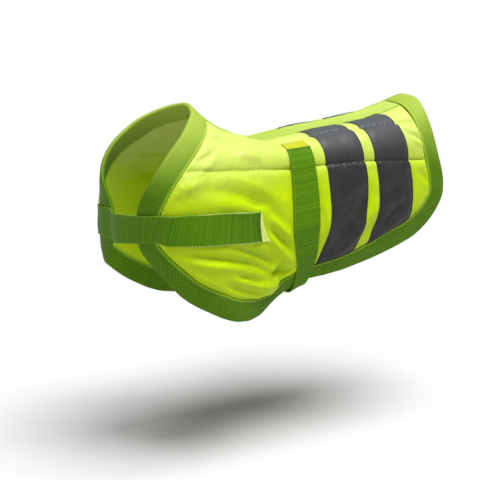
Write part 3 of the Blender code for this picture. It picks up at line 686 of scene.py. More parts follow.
def twillWebbing(name, low, high, lip, pale, bumpDepth=0.16):
    # Folded webbing: dots where a diagonal weave crosses its mirror, and a pale selvedge lip, partly
    # its own lighter colour and partly a painted highlight on the raised edge;
    # a painted highlight in the colour pale toward the top of the coat; x runs along the edge and y in
    # from it
    material, tree, shader = startMaterial(name, Roughness=0.5, Specular_IOR_Level=0.1,
                                           Sheen_Weight=0.03, Sheen_Roughness=0.4,
                                           Sheen_Tint=paint(0.9, 1.0, 0.4))
    places, x, y = clothPlaces(tree)
    rise = wave(tree, maths(tree, "ADD", x, y), 2.1)
    fall = wave(tree, maths(tree, "SUBTRACT", x, y), 2.1)
    weave = maths(tree, "MULTIPLY", rise, fall)
    dots = spread(tree, weave, 0.2, 0.6)
    colour = mixColours(tree, dots, paint(*low), paint(*high))
    worn = noise(tree, places, 0.08, 3.0)
    colour = mixColours(tree, maths(tree, "MULTIPLY", worn, 0.35), colour, paint(*low))
    depth = maths(tree, "ABSOLUTE", y)
    edge = spread(tree, depth, 20.8, 23.0)
    # The lip: the selvedge's own lighter colour and partly a painted highlight along its raised edge
    colour = mixColours(tree, maths(tree, "MULTIPLY", edge, 0.75), colour, paint(*lip))
    # Painted highlight: paler toward the top of the coat, where the overhead light falls
    colour = paintTopHighlight(tree, colour, pale, 0.78, -0.04, 0.045)
    tree.links.new(colour, shader.inputs["Base Color"])
    bumpInto(tree, shader, (noise(tree, places, 0.07, 2.0), 0.5), (weave, bumpDepth))
    return material


def ribbedWebbing(name, low, high, lip, half, pitch=1.9):
    # Strap webbing: uneven ribs across it, dark speckles and a tight paler selvedge; x runs along
    # the strap and y from its middle line
    material, tree, shader = startMaterial(name, Roughness=0.52, Specular_IOR_Level=0.1,
                                           Sheen_Weight=0.02, Sheen_Roughness=0.4,
                                           Sheen_Tint=paint(0.8, 1.0, 0.3))
    places, x, y = clothPlaces(tree)
    stretched = addNode(tree, "ShaderNodeMapping", Vector=places, Scale=(0.45, 0.0, 1.0)).outputs[0]
    uneven = noise(tree, stretched, 1.0, 2.0)
    bent = maths(tree, "MULTIPLY_ADD", uneven, 1.2, x)
    rib = wave(tree, bent, pitch)
    strength = spread(tree, noise(tree, stretched, 0.6, 2.0), 0.35, 0.65)
    shade = maths(tree, "MULTIPLY", rib, maths(tree, "MULTIPLY_ADD", strength, 0.6, 0.25))
    colour = mixColours(tree, shade, paint(*low), paint(*high))
    speckle = spread(tree, noise(tree, places, 0.8, 2.0), 0.4, 0.7)
    colour = mixColours(tree, maths(tree, "MULTIPLY", speckle, 0.35), colour, paint(*low))
    side = maths(tree, "ABSOLUTE", y)
    edge = spread(tree, side, half - 1.5, half - 0.6)
    picot = wave(tree, x, 1.5)
    colour = mixColours(tree, maths(tree, "MULTIPLY", edge, maths(tree, "MULTIPLY", picot, 0.55)),
                        colour, paint(*lip))
    tree.links.new(colour, shader.inputs["Base Color"])
    threads = wave(tree, y, 0.9)
    bumpInto(tree, shader, (noise(tree, places, 0.06, 2.0), 0.6), (shade, 0.2),
             (maths(tree, "MULTIPLY", threads, edge), 0.12))
    return material


def greyTape():
    # Charcoal reflective cloth: satin grey with a fine bead sparkle, soft handling creases and a
    # painted highlight paler toward the top
    material, tree, shader = startMaterial("reflectiveGrey", Roughness=0.42,
                                           Specular_IOR_Level=0.16, Sheen_Weight=0.02,
                                           Sheen_Roughness=0.35, Sheen_Tint=paint(0.8, 0.8, 0.85))
    places = clothPlaces(tree)[0]
    beads = noise(tree, places, 2.6, 1.0)
    broad = noise(tree, places, 0.05, 3.0)
    colour = mixColours(tree, spread(tree, broad, 0.3, 0.7), paint(0.021, 0.021, 0.022),
                        paint(0.030, 0.030, 0.031))
    colour = mixColours(tree, spread(tree, beads, 0.6, 0.75), colour, paint(0.05, 0.05, 0.052))
    # Painted highlight: the grey painted paler toward the top of the coat, where the overhead light
    # falls
    colour = paintTopHighlight(tree, colour, (0.085, 0.09, 0.095), 0.8, -0.03, 0.02)
    tree.links.new(colour, shader.inputs["Base Color"])
    bumpInto(tree, shader, (noise(tree, places, 0.13, 4.0, 0.55), 0.5), (beads, 0.03))
    return material


def loopPile(name, low, high):
    # Brushed loops: clumped fine fuzz
    material, tree, shader = startMaterial(name, Roughness=0.85, Specular_IOR_Level=0.1,
                                           Sheen_Weight=0.15, Sheen_Roughness=0.5,
                                           Sheen_Tint=paint(1.0, 1.0, 0.6))
    places = clothPlaces(tree)[0]
    fuzz = noise(tree, places, 1.3, 4.0, 0.7)
    colour = mixColours(tree, spread(tree, fuzz, 0.35, 0.65), paint(*low), paint(*high))
    tree.links.new(colour, shader.inputs["Base Color"])
    bumpInto(tree, shader, (fuzz, 0.6))
    return material


def sewingThread(name, colour):
    # Two-ply thread, twisted
    material, tree, shader = startMaterial(name, Roughness=0.5, Specular_IOR_Level=0.2,
                                           Sheen_Weight=0.04)
    x, y = clothPlaces(tree)[1:]
    twist = wave(tree, maths(tree, "ADD", x, y), 0.8)
    shade = mixColours(tree, twist, paint(*(0.7 * part for part in colour)), paint(*colour))
    tree.links.new(shade, shader.inputs["Base Color"])
    bumpInto(tree, shader, (twist, 0.05))
    return material


nylon = nylonCloth()
# Each webbing's last colour is its painted highlight toward the top of the coat; the one before it is
# the selvedge lip, partly a painted highlight
edgeWebbing = twillWebbing("edgeWebbing", (0.02, 0.07, 0.0), (0.26, 0.52, 0.004),
                           (0.26, 0.46, 0.02), (0.40, 0.52, 0.07))
spineCloth = twillWebbing("spineWebbing", (0.20, 0.33, 0.004), (0.34, 0.50, 0.02),
                          (0.38, 0.54, 0.04), (0.50, 0.60, 0.14), 0.1)
strapCloth = ribbedWebbing("strapWebbing", (0.05, 0.14, 0.0), (0.135, 0.30, 0.003),
                           (0.26, 0.42, 0.05), straps["width"] / 2)
tapeCloth = greyTape()
chestPile = loopPile("palePile", (0.58, 0.68, 0.12), (0.76, 0.84, 0.26))
bellyPile = loopPile("yellowPile", (0.36, 0.40, 0.0), (0.52, 0.53, 0.03))
yellowThread = sewingThread("yellowThread", (0.50, 0.72, 0.02))
greenThread = sewingThread("greenThread", (0.13, 0.33, 0.01))
paleThread = sewingThread("paleThread", (0.30, 0.36, 0.14))
darkThread = sewingThread("darkGreenThread", (0.008, 0.03, 0.001))
tapeThread = sewingThread("tapeThread", (0.024, 0.024, 0.026))
spineThread = sewingThread("spineThread", (0.30, 0.55, 0.02))
picotThread = sewingThread("paleGreenThread", (0.50, 0.66, 0.22))
print("materials ready")


# Panel: one quilted wall, from under the binding on one edge to under it on the other
# columnSteps: columns between spine, spine webbing, quilt lines, seam and edge, on each side
# insidePuff: share of the padding that bulges inward
panelMesh = {
    "underBinding": 8.0,
    "edgeRows": 8,
    "middleRows": 204,
    "columnSteps": (6, 14, 22, 50, 8),
    "insidePuff": 0.28,
}


def placeOfLine(line, t):
    # Place of a lengthwise line, spaced so that lines near the neck stay parallel to its edge
    near = 24.0
    away = readLattice(insideForm, near, t) - readLattice(insideForm, 0.0, t)
    scale = near / np.linalg.norm(away, axis=-1)
    seam, last = padding["seamDepth"], straps["bellyFront"]
    share = (line - seam) / (last - seam)
    far = seam * scale + share * (last - seam * scale)
    return np.where(line <= seam, line * scale, np.where(line < last, far, line))


def panelGrid():
    # Columns follow the stitched lines, closer together beside each of them
    edge, seam = panelMesh["underBinding"], padding["seamDepth"]
    length = coatForm["length"]
    rows, middle = panelMesh["edgeRows"], panelMesh["middleRows"]
    lines = np.concatenate([np.linspace(edge, seam, rows, endpoint=False),
                            np.linspace(seam, length - seam, middle, endpoint=False),
                            np.linspace(length - seam, length - edge, rows)])
    named = [np.zeros(len(lines)), np.full(len(lines), padding["spineHalf"]),
             girthLine(1, lines), girthLine(2, lines), insetGirth(lines, seamAt(lines)),
             insetGirth(lines, edge)]
    parts = [named[0][:, None]]
    for k, steps in enumerate(panelMesh["columnSteps"]):
        share = np.arange(1, steps + 1) / steps
        if k < 4:
            share = 0.6 * share + 0.4 * (1 - np.cos(np.pi * share)) / 2
        parts.append(named[k][:, None] + share * (named[k + 1] - named[k])[:, None])
    half = np.hstack(parts)
    t = np.hstack([-half[:, :0:-1], half])
    return placeOfLine(lines[:, None] + 0 * t, t), t


def makePanel():
    # Outside at the wall's height over the form, inside bulged a little the other way
    u, t = panelGrid()
    outside = onPanel(u, t, 0.0)
    padded = wallHeight(u, t) - padding["stitchedWall"]
    inner = -panelMesh["insidePuff"] * np.maximum(padded, 0)
    inside = readLattice(insideForm, u, t) + readLattice(insideNormal, u, t) * inner[..., None]
    panel = slab("coatPanel", inside, outside, np.stack([u, t], -1), nylon)
    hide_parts("body_panel")
    return panel


# Edge binding: webbing folded over the edge, carried round it
# top, bottom: heights of its two legs over the form; innerTop, innerBottom: the legs' inner faces
# tailLift: place and girth where the outer leg stands off by the rear, how far round, how high
binding = {
    "width": 24.0,
    "steps": 1040,
    "top": 3.5,
    "bottom": -1.5,
    "innerTop": 2.3,
    "innerBottom": -0.3,
    "lip": 0.3,
    "stitchAt": 20.6,
    "ripple": 0.22,
    "tailLift": (366.0, -30.0, 16.0, 1.6),
}


def roundBlur(values, sigma):
    # Gaussian blur along the first axis of a closed loop
    reach = int(3 * sigma) + 1
    weights = np.exp(-0.5 * (np.arange(-reach, reach + 1) / sigma) ** 2)
    weights /= weights.sum()
    return sum(weight * np.roll(values, shift, axis=0)
               for weight, shift in zip(weights, range(-reach, reach + 1)))


formAlong = np.gradient(insideForm, axis=0)
formRound = np.gradient(insideForm, axis=1)


def nearestPlace(u, t, target):
    # Damped Newton steps toward the place whose point on the form is nearest the target
    for _ in range(4):
        gap = target - readLattice(insideForm, u, t)
        along, around = readLattice(formAlong, u, t), readLattice(formRound, u, t)
        a = (along * along).sum(-1) + 0.03
        b = (along * around).sum(-1)
        c = (around * around).sum(-1) + 0.03
        p, q = (along * gap).sum(-1), (around * gap).sum(-1)
        det = a * c - b * b
        u = u + np.clip((c * p - b * q) / det, -3, 3)
        t = t + np.clip((a * q - b * p) / det, -3, 3)
    return u, t


def bindingBand():
    # Points and normals of the form at every millimetre in from the edge, square to the edge:
    # each step goes straight on over the surface from the last
    u, t, length = edgeLoop(binding["steps"])
    points = [roundBlur(readLattice(insideForm, u, t), 2.0)]
    normals = [unit(roundBlur(readLattice(insideNormal, u, t), 3.0))]
    tangent = unit(np.roll(points[0], -1, axis=0) - np.roll(points[0], 1, axis=0))
    inward = unit(np.cross(normals[0], tangent))
    middle = readLattice(insideForm, 0.6 * u + 0.2 * coatForm["length"], 0.6 * t)
    if ((middle - points[0]) * inward).sum() < 0:
        inward = -inward
    places = [(u, t)]
    for _ in range(int(binding["width"]) + 1):
        u, t = nearestPlace(u, t, points[-1] + inward)
        point = roundBlur(readLattice(insideForm, u, t), 1.2)
        normal = unit(roundBlur(readLattice(insideNormal, u, t), 2.5))
        inward = unit(point - points[-1])
        inward = unit(inward - (inward * normal).sum(-1, keepdims=True) * normal)
        points.append(point)
        normals.append(normal)
        places.append((u, t))
    return np.array(points), np.array(normals), np.array(places), length


bandPoints, bandNormals, bandPlaces, edgeLength = bindingBand()


def onBand(depth, height):
    # Point at a depth in from the edge and a height over the form, for the whole loop
    depth = np.clip(np.broadcast_to(depth, bandPoints.shape[1:2]), 0, len(bandPoints) - 1.001)
    k = depth.astype(int)
    part = (depth - k)[:, None]
    column = np.arange(len(depth))
    point = bandPoints[k, column] * (1 - part) + bandPoints[k + 1, column] * part
    normal = unit(bandNormals[k, column] * (1 - part) + bandNormals[k + 1, column] * part)
    return point + normal * np.broadcast_to(height, depth.shape)[:, None]


def bindingProfile():
    # Cross-section, once round: outer leg from its lip, the fold, inner leg, and back inside
    top, bottom, width = binding["top"], binding["bottom"], binding["width"]
    lip, stitch = binding["lip"], binding["stitchAt"]
    outer = [(width, binding["innerTop"] + 0.2), (width - 0.1, top - 0.15), (width - 0.7, top + lip),
             (width - 1.7, top + lip * 0.9), (width - 2.5, top - 0.05), (stitch, top - 0.22),
             (stitch - 1.3, top + 0.03), (stitch - 4, top + 0.15), (12.5, top + 0.2),
             (8.5, top + 0.17), (5, top + 0.1), (2.6, top)]
    turn = np.linspace(0.12, 0.88, 9) * math.pi
    fold = [(1.7 * (1 - math.sin(a)), 1.0 + 2.5 * math.cos(a)) for a in turn]
    under = [(2.6, bottom), (7, bottom - 0.1), (12, bottom - 0.12), (17, bottom - 0.08),
             (stitch, bottom + 0.2), (22, bottom - 0.1), (width - 0.3, bottom - 0.15),
             (width, bottom + 0.3)]
    inside = [(width, binding["innerBottom"]), (12, binding["innerBottom"]),
              (1.9, binding["innerBottom"]), (1.0, 1.0), (1.9, binding["innerTop"]),
              (12, binding["innerTop"]), (width, binding["innerTop"])]
    return outer, fold, under, inside


def lapOnBand():
    # How much narrower the outer leg is, where the padding laps over it
    u, t = bandPlaces[int(binding["width"])]
    return roundBlur(padding["seamDepth"] - seamAt(u, t), 2.0)


def makeBinding():
    # The profile carried along the band, narrowed under the padding's lap and rippled at its lip
    outer, fold, under, inside = bindingProfile()
    outerAgain = len(outer + fold + under) + 4
    steps = binding["steps"]
    s = np.arange(steps) / steps * edgeLength
    across = np.zeros(steps)
    wavy = 0.35 * softNoise(s * 0.23, across, 4.0, 31)
    ripple = binding["ripple"] * (softNoise(s * 0.23, across, 1.9, 32)
                                  + 0.6 * softNoise(s * 0.23, across, 4.3, 33))
    lowest, liftT, reach, rise = binding["tailLift"]
    lap = lapOnBand() / binding["width"]
    columns, uv = [], []
    for k, (depth, height) in enumerate(outer + fold + under + inside):
        share = depth / binding["width"]
        place = depth + wavy * share
        onOuterLeg = k < len(outer) or k >= outerAgain
        if onOuterLeg:
            place = place * (1 - lap)
        if k < len(outer):
            height = height + ripple * share
        u, t = bandPlaces[int(min(depth, binding["width"]))]
        tail = np.exp(-((t - liftT) / reach) ** 2) * smoothStep(lowest - 12, lowest, u)
        if onOuterLeg:
            height = height + rise * tail * share ** 3
        columns.append(onBand(place, height))
        side = -1 if len(outer + fold) <= k < len(outer + fold + under) else 1
        uv.append(np.stack([s, np.full(steps, side * depth)], -1))
    points, uv = np.stack(columns, 1), np.stack(uv, 1)
    count = points.shape[1]
    points = np.concatenate([points, points[:1]])
    uv = np.concatenate([uv, uv[:1] + [edgeLength, 0]])
    ring = gridFaces(steps + 1, count)
    last = np.arange(steps) * count
    ring = np.vstack([ring, np.stack([last + count - 1, last + 2 * count - 1, last + count, last], 1)])
    piece = makeMesh("edgeBinding", points.reshape(-1, 3), ring, uv.reshape(-1, 2), edgeWebbing)
    tidyTube(piece)
    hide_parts("edge_binding")
    return piece


def tidyTube(piece):
    # Join the two ends of a closed loop and turn every face outwards
    work = bmesh.new()
    work.from_mesh(piece.data)
    bmesh.ops.remove_doubles(work, verts=work.verts, dist=1e-6)
    bmesh.ops.recalc_face_normals(work, faces=work.faces)
    work.to_mesh(piece.data)
    work.free()
    piece.data.update()


panelPiece = makePanel()
print("panel", len(panelPiece.data.polygons))
bindingPiece = makeBinding()
print("binding", len(bindingPiece.data.polygons))


# Reflective tapes: from under the binding on one side to under it on the other
# starts: place of each tape's front edge
tapes = {
    "starts": {"reflective_tape_front": 220.0, "reflective_tape_rear": 284.0},
    "width": 50.0,
    "thick": 0.5,
    "lift": 0.08,
    "underBinding": 21.0,
}


def makeTape(name, node):
    # Cloth over the panel between two places, its girth ending under the binding on both sides
    start = tapes["starts"][node]
    places = finerEnds(start, start + tapes["width"], 34)
    reach = insetGirth(places, tapes["underBinding"] - padding["seamDepth"] + seamAt(places))
    share = np.linspace(-1, 1, 250)
    u = np.repeat(places[:, None], len(share), axis=1)
    t = reach[:, None] * share
    tape = clothOnPanel(name, u, t, tapes["lift"], tapes["thick"], tapeCloth)
    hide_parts(node)


makeTape("frontTape", "reflective_tape_front")
makeTape("rearTape", "reflective_tape_rear")
print("tapes ready")


# Spine webbing: along the back, over both tapes
spine = {
    "thick": 1.3,
    "lift": 0.2,
    "selvedge": 0.18,
    "groove": 0.15,
    "stitchAt": 12.6,
}


def overTapes(u):
    # Height that a tape adds under what crosses it, rising just outside each of its edges
    thick, width = tapes["thick"] + tapes["lift"], tapes["width"]
    return sum(thick * smoothStep(start - 2.5, start - 0.3, u)
               * smoothStep(start + width + 2.5, start + width + 0.3, u)
               for start in tapes["starts"].values())


def makeSpine():
    # Strip over the panel, its selvedges raised and a groove pressed in along both rows of sewing
    half, seam = padding["spineHalf"], padding["seamDepth"]
    lines = finerEnds(seam + 0.2, coatForm["length"] - seam - 0.2, 250)
    t = finerEnds(-half, half, 16)[None, :] + 0 * lines[:, None]
    u = placeOfLine(lines[:, None] + 0 * t, t)
    lift = spine["lift"] + overTapes(u)
    selvedge = spine["selvedge"] * smoothStep(half - 2.2, half - 1.0, np.abs(t))
    groove = spine["groove"] * np.exp(-((np.abs(t) - spine["stitchAt"]) / 0.7) ** 2)
    piece = clothOnPanel("spineWebbing", u, t, lift, spine["thick"], spineCloth,
                         relief=selvedge - groove)
    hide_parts("spine_webbing")


makeSpine()
print("spine webbing ready")


# Loop patches on the left side, each under a strap's end
# chestSlant: share of the way up the chest patch, how far its rear end lies back there
patches = {
    "thick": 1.1,
    "gap": 0.25,
    "fuzz": 0.18,
    "chestFront": 25.2,
    "chestSlant": ((0, 3), (0.9, -8), (1, -10.5)),
}


def makeChestPatch():
    # Between the strap's edges, a little past them near its end, and cut at a slant there
    front = placeOfLine(np.array([patches["chestFront"]]), np.array([-176.0]))[0]
    places = finerEnds(front, straps["chestEnd"] + straps["patchPast"], 90)
    share = finerEnds(0.0, 1.0, 26, 0.012)
    low = chestEdge(2, places) + np.interp(places, (100, 128), (-1, 1.5))
    top = chestEdge(1, places) + 2.5
    t = -(top[:, None] + share * (low - top)[:, None])
    slant = np.interp(share, *np.array(patches["chestSlant"]).T)
    u = places[:, None] + slant * smoothStep(50, 131, places)[:, None]
    fuzz = patches["fuzz"] * softNoise(u, t, 2.3, 41)
    patch = clothOnPanel("chestLoopPatch", u, t[:, ::-1], patches["gap"], patches["thick"],
                         chestPile, relief=fuzz)
    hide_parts("chest_loop_patch")


def makeBellyPatch():
    # As wide as the strap, from above its end down to where the strap lies on plain cloth
    front = straps["bellyFront"]
    u, t = np.meshgrid(finerEnds(front + 0.5, front + straps["width"], 26),
                       -finerEnds(straps["bellyTop"] - straps["patchPast"],
                                  straps["bellySewnTop"], 80)[::-1], indexing="ij")
    u = u + bellySkew(np.abs(t))
    fuzz = patches["fuzz"] * softNoise(u, t, 2.3, 42)
    patch = clothOnPanel("bellyLoopPatch", u, t, patches["gap"], patches["thick"], bellyPile,
                         relief=fuzz)
    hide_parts("belly_loop_patch")


makeChestPatch()
makeBellyPatch()
print("loop patches ready")


def strapHeight(u, t, onPatch):
    # Height of a strap's under side over the form: on the padding, on the loop patch where there
    # is one, or on the binding
    depth = readLattice(edgeDepth, u, t)
    patch = np.where(onPatch(u, t), patches["thick"] + 2 * patches["gap"], 0.35)
    seam = seamAt(u, t)
    share = smoothStep(seam - 2, seam + 6, depth)
    return (wallHeight(u, t) + patch) * share + (binding["top"] + 0.75) * (1 - share)


def strapRow(u, t, onPatch):
    # Points across a strap's under side
    u, t = np.broadcast_arrays(np.asarray(u, float), np.asarray(t, float))
    return (readLattice(insideForm, u, t)
            + readLattice(insideNormal, u, t) * strapHeight(u, t, onPatch)[..., None])


def strapFromRows(name, rows, material, node):
    # Natural cubic along the strap through rows of points, two selvedges rounded off, and the
    # webbing's thickness over it; gives its top, the lengths along it and the shares across it
    rows = np.stack(rows)
    centre = rows[:, rows.shape[1] // 2]
    chord = np.r_[0, np.cumsum(np.linalg.norm(np.diff(centre, axis=0), axis=1))]
    along = finerEnds(0.0, chord[-1], int(chord[-1] / 0.9), 0.4)
    under = np.stack([naturalSpline(chord, np.repeat(rows[:, k:k + 1], len(along), axis=1), along)
                      for k in range(rows.shape[1])], axis=1)
    given = np.linspace(-1, 1, rows.shape[1])
    share = finerEnds(-1.0, 1.0, 15, 0.025)
    fine = np.stack([naturalSpline(given, np.repeat(line[:, None], len(share), axis=1), share)
                     for line in under])
    half = straps["width"] / 2
    y = np.repeat((share * half)[None, :], len(along), axis=0)
    x = np.repeat(along[:, None], len(share), axis=1)
    normal = normalOf(fine)
    border = onBorder(len(along), len(share))
    lip = 0.14 * smoothStep(half - 2.0, half - 1.0, np.abs(y))
    over = straps["thick"] * np.where(border, 0.6, 1.0) + np.where(border, 0, lip)
    piece = slab(name, fine, fine + normal * over[..., None], np.stack([x, y], -1), material)
    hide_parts(node)
    return fine + normal * (straps["thick"] + 0.02), along, share


def onChestPatch(u, t):
    return (t < 0) & (u > 24)


def onBellyPatch(u, t):
    return (t < 0) & (np.abs(t) < straps["bellySewnTop"] + 1)


def makeChestStrap():
    # Rows from the free end on the left round the front, one bulged row in mid-air, to the right
    shares = np.linspace(0, 1, 7)
    rows = {-1: [], 1: []}
    for side, stops in ((-1, (129.5, 118, 104, 90, 76, 62, 48, 36, 28, 18, 9, 0)),
                        (1, (0, 9, 18, 28, 36, 46, straps["chestSewnEnd"]))):
        for line in stops:
            top, low = chestEdge(1, line, side), chestEdge(2, line, side)
            t = side * (top + shares * (low - top))
            u = placeOfLine(np.full(7, float(line)), t) if line <= 28 else np.full(7, float(line))
            u = u + shares * straps["endSlant"] * smoothStep(50, 131, line) * (side < 0)
            rows[side].append(strapRow(u, t, onChestPatch))
    front = (rows[-1][-1] + rows[1][0]) / 2 + np.array([straps["bulge"], 0, 0])
    return strapFromRows("chestStrap", rows[-1] + [front] + rows[1], strapCloth,
                         "chest_strap")


def makeBellyStrap():
    # Rows down the left flank, one dropped row under the belly, and rows up the right flank; near
    # the hem they turn to run along with it
    across = straps["bellyFront"] + np.linspace(-0.5, straps["width"] + 0.5, 7)
    rows = []
    for side, top in ((-1, straps["bellyTop"]), (1, straps["bellySewnTop"])):
        half = []
        for stop in np.append(np.arange(top, 186.0, 12.0), [190.0, 201.0, 208.0]):
            u = across + bellySkew(stop)
            hemGirth = girthLine(3, u)
            girth = np.minimum(stop * (1 + (hemGirth / hemGirth[3] - 1) * stop / 210), hemGirth - 1)
            half.append(strapRow(u, side * girth, onBellyPatch))
        rows.append(half)
    middle = (rows[0][-1] + rows[1][-1]) / 2 - np.array([0, 0, straps["drop"]])
    return strapFromRows("bellyStrap", rows[0] + [middle] + rows[1][::-1], strapCloth,
                         "belly_strap")


chestStrap = makeChestStrap()
bellyStrap = makeBellyStrap()
print("straps ready")


# Sewing: rows of thread, each stitch a small rounded bar that dips into the cloth at both ends
# Each kind of stitch: pitch, length, radius
sewing = {
    "plain": (3.3, 2.5, 0.24),
    "tapeEdge": (3.3, 2.5, 0.2),
    "overTape": (2.9, 2.8, 0.17),
    "picot": (3.4, 1.8, 0.6),
    "chestEnd": (3.0, 1.6, 0.6),
    "bellyEnd": (2.6, 2.0, 0.24),
}


def stitchRow(path, up, kind="plain"):
    # Bars spaced along a path: six rings of a capsule, turned to each stitch's own directions
    pitch, length, radius = sewing[kind]
    arc = np.r_[0, np.cumsum(np.linalg.norm(np.diff(path, axis=0), axis=1))]
    count = max(int(arc[-1] / pitch), 1)
    at = (np.arange(count) + 0.5) * arc[-1] / count
    centre = np.stack([np.interp(at, arc, path[:, k]) for k in range(3)], -1)
    ahead = np.stack([np.interp(at + 0.4, arc, path[:, k]) for k in range(3)], -1)
    behind = np.stack([np.interp(at - 0.4, arc, path[:, k]) for k in range(3)], -1)
    normal = unit(np.stack([np.interp(at, arc, up[:, k]) for k in range(3)], -1))
    along = unit(ahead - behind)
    aside = unit(np.cross(normal, along))
    normal = np.cross(along, aside)
    rings = np.array([-0.5, -0.38, -0.14, 0.14, 0.38, 0.5])
    width = np.array([0.45, 0.95, 1.0, 1.0, 0.95, 0.45]) * radius
    dip = -radius * 1.6 * (2 * np.abs(rings)) ** 3
    turn = np.arange(6) / 6 * 2 * math.pi
    x = np.repeat(rings[:, None] * length, 6, axis=1)
    y = width[:, None] * np.cos(turn)
    z = width[:, None] * np.sin(turn) + dip[:, None]
    shape = np.stack([x, y, z], -1).reshape(-1, 3)
    points = centre[:, None] + (shape[None, :, :1] * along[:, None]
                                + shape[None, :, 1:2] * aside[:, None]
                                + shape[None, :, 2:] * normal[:, None])
    uv = np.stack([np.repeat(at[:, None], 36, axis=1) + shape[None, :, 0],
                   np.repeat(shape[None, :, 1] + shape[None, :, 2], count, axis=0)], -1)
    return points.reshape(-1, 3), uv.reshape(-1, 2)


def sewPiece(name, rows, material):
    # One mesh from several rows of stitches: 36 points each, rings joined by quads and capped
    points = np.vstack([row[0] for row in rows])
    uv = np.vstack([row[1] for row in rows])
    count = len(points) // 36
    ring = np.arange(6)
    quads = [[a * 6 + i, a * 6 + (i + 1) % 6, (a + 1) * 6 + (i + 1) % 6, (a + 1) * 6 + i]
             for a in range(5) for i in ring]
    caps = [[0, 3, 2, 1], [0, 5, 4, 3], [30, 31, 32, 33], [30, 33, 34, 35]]
    one = np.array(quads + caps)
    faces = (np.arange(count)[:, None, None] * 36 + one[None]).reshape(-1, 4)
    piece = makeMesh(name, points, faces[:, ::-1], uv, material)


def panelPath(u, t, lift):
    # Path on the panel, and its normals
    return onPanel(u, t, lift), readLattice(insideNormal, u, t)


def sewPanel():
    # Both quilt lines on both sides, stretch by stretch between the tapes' edges, and the tapes'
    # own sewing along their edges
    seam, length = padding["seamDepth"], coatForm["length"]
    yellow, pale, dark = [], [], []
    tapeTop = tapes["lift"] + tapes["thick"]
    breaks = [edge for start in tapes["starts"].values() for edge in (start, start + tapes["width"])]
    starts = [seam + 2] + [edge + 0.5 for edge in breaks]
    ends = [edge - 0.5 for edge in breaks] + [length - seam - 1]
    for index in (1, 2):
        for side in (-1, 1):
            for k, (start, end) in enumerate(zip(starts, ends)):
                taped = k % 2 == 1
                line = np.linspace(start, end, int((end - start) * 2))
                t = side * girthLine(index, line)
                u = placeOfLine(line, t)
                path = panelPath(u, t, tapeTop + 0.2 if taped else 0.2)
                if not taped:
                    yellow.append(stitchRow(*path))
                elif index == 1:
                    dark.append(stitchRow(*path, "tapeEdge"))
                else:
                    pale.append(stitchRow(*path, "overTape"))
    sewPiece("quiltSewing", yellow, yellowThread)
    sewPiece("tapeQuiltSewing", pale, paleThread)
    for edge in padding["tapeEdges"]:
        for side in (-1, 1):
            reach = insetGirth(np.array([edge]), seamAt(edge) + 0.5)[0]
            t = side * np.linspace(padding["spineHalf"] + 1, reach, 400)
            dark.append(stitchRow(*panelPath(np.full(400, edge), t, tapeTop + 0.06), "tapeEdge"))
    sewPiece("tapeEdgeSewing", dark, tapeThread)


def sewBinding():
    # A closed row along the outer leg and one along the inner leg
    rows = []
    for height, flip in ((binding["top"] - 0.1, 1), (binding["bottom"] + 0.1, -1)):
        lap = lapOnBand() / binding["width"] if flip > 0 else 0.0
        path = onBand(binding["stitchAt"] * (1 - lap), height)
        up = bandNormals[int(binding["stitchAt"])] * flip
        rows.append(stitchRow(np.vstack([path, path[:1]]), np.vstack([up, up[:1]])))
    sewPiece("bindingSewing", rows, greenThread)


def sewSpine():
    # A row along each selvedge
    seam = padding["seamDepth"]
    line = np.linspace(seam + 2, coatForm["length"] - seam - 2, 700)
    rows = []
    for side in (-spine["stitchAt"], spine["stitchAt"]):
        t = np.full(len(line), side)
        u = placeOfLine(line, t)
        lift = spine["lift"] + overTapes(u) + spine["thick"]
        rows.append(stitchRow(*panelPath(u, t, lift)))
    sewPiece("spineSewing", rows, spineThread)


def strapPath(strap, stops):
    # Path over a strap through stops given as distance along it and offset from its middle line
    over, along, share = strap
    normal = normalOf(over)
    stops = np.array(stops, float)
    pieces = []
    for (x0, y0), (x1, y1) in zip(stops[:-1], stops[1:]):
        count = max(int(np.hypot(x1 - x0, y1 - y0) * 2), 2)
        pieces.append(np.stack([np.linspace(x0, x1, count), np.linspace(y0, y1, count)], -1))
    line = np.vstack(pieces)
    row = np.clip(np.searchsorted(along, line[:, 0]), 1, len(along) - 1)
    part = ((line[:, 0] - along[row - 1]) / (along[row] - along[row - 1]))[:, None]
    y = line[:, 1] / (straps["width"] / 2)
    column = np.clip(np.searchsorted(share, y), 1, len(share) - 1)
    side = ((y - share[column - 1]) / (share[column] - share[column - 1]))[:, None]

    def read(field):
        near = field[row - 1, column - 1] * (1 - side) + field[row - 1, column] * side
        far = field[row, column - 1] * (1 - side) + field[row, column] * side
        return near * (1 - part) + far * part
    return read(over), read(normal)


def endBox(strap, depth, edge):
    # Sewn box with one diagonal, at a strap's sewn end
    far, near = strap[1][-1] - 3, strap[1][-1] - depth
    return [(far, -edge), (far, edge), (near, edge), (near, -edge), (far, -edge), (near, edge)]


def sewStraps():
    # Pale picots by the chest strap's selvedges; dark rows across both free ends, and a box on
    # both sewn ends
    edge = straps["width"] / 2 - 1.6
    picots = [stitchRow(*strapPath(chestStrap, [(84, side), (3, side)]), "picot")
              for side in (-edge - 1.3, edge + 1.3)]
    dark = [stitchRow(*strapPath(chestStrap, [(x, -edge), (x, edge)]), "chestEnd")
            for x in (2.2, 4.9)]
    dark.append(stitchRow(*strapPath(chestStrap, endBox(chestStrap, 26, edge))))
    dark.append(stitchRow(*strapPath(bellyStrap, [(2.4, -edge), (2.4, edge)]), "bellyEnd"))
    dark.append(stitchRow(*strapPath(bellyStrap, endBox(bellyStrap, 30, edge))))
    sewPiece("chestStrapSewing", picots, picotThread)
    sewPiece("strapEndSewing", dark, darkThread)


sewPanel()
sewBinding()
sewSpine()
sewStraps()
print("sewing ready")


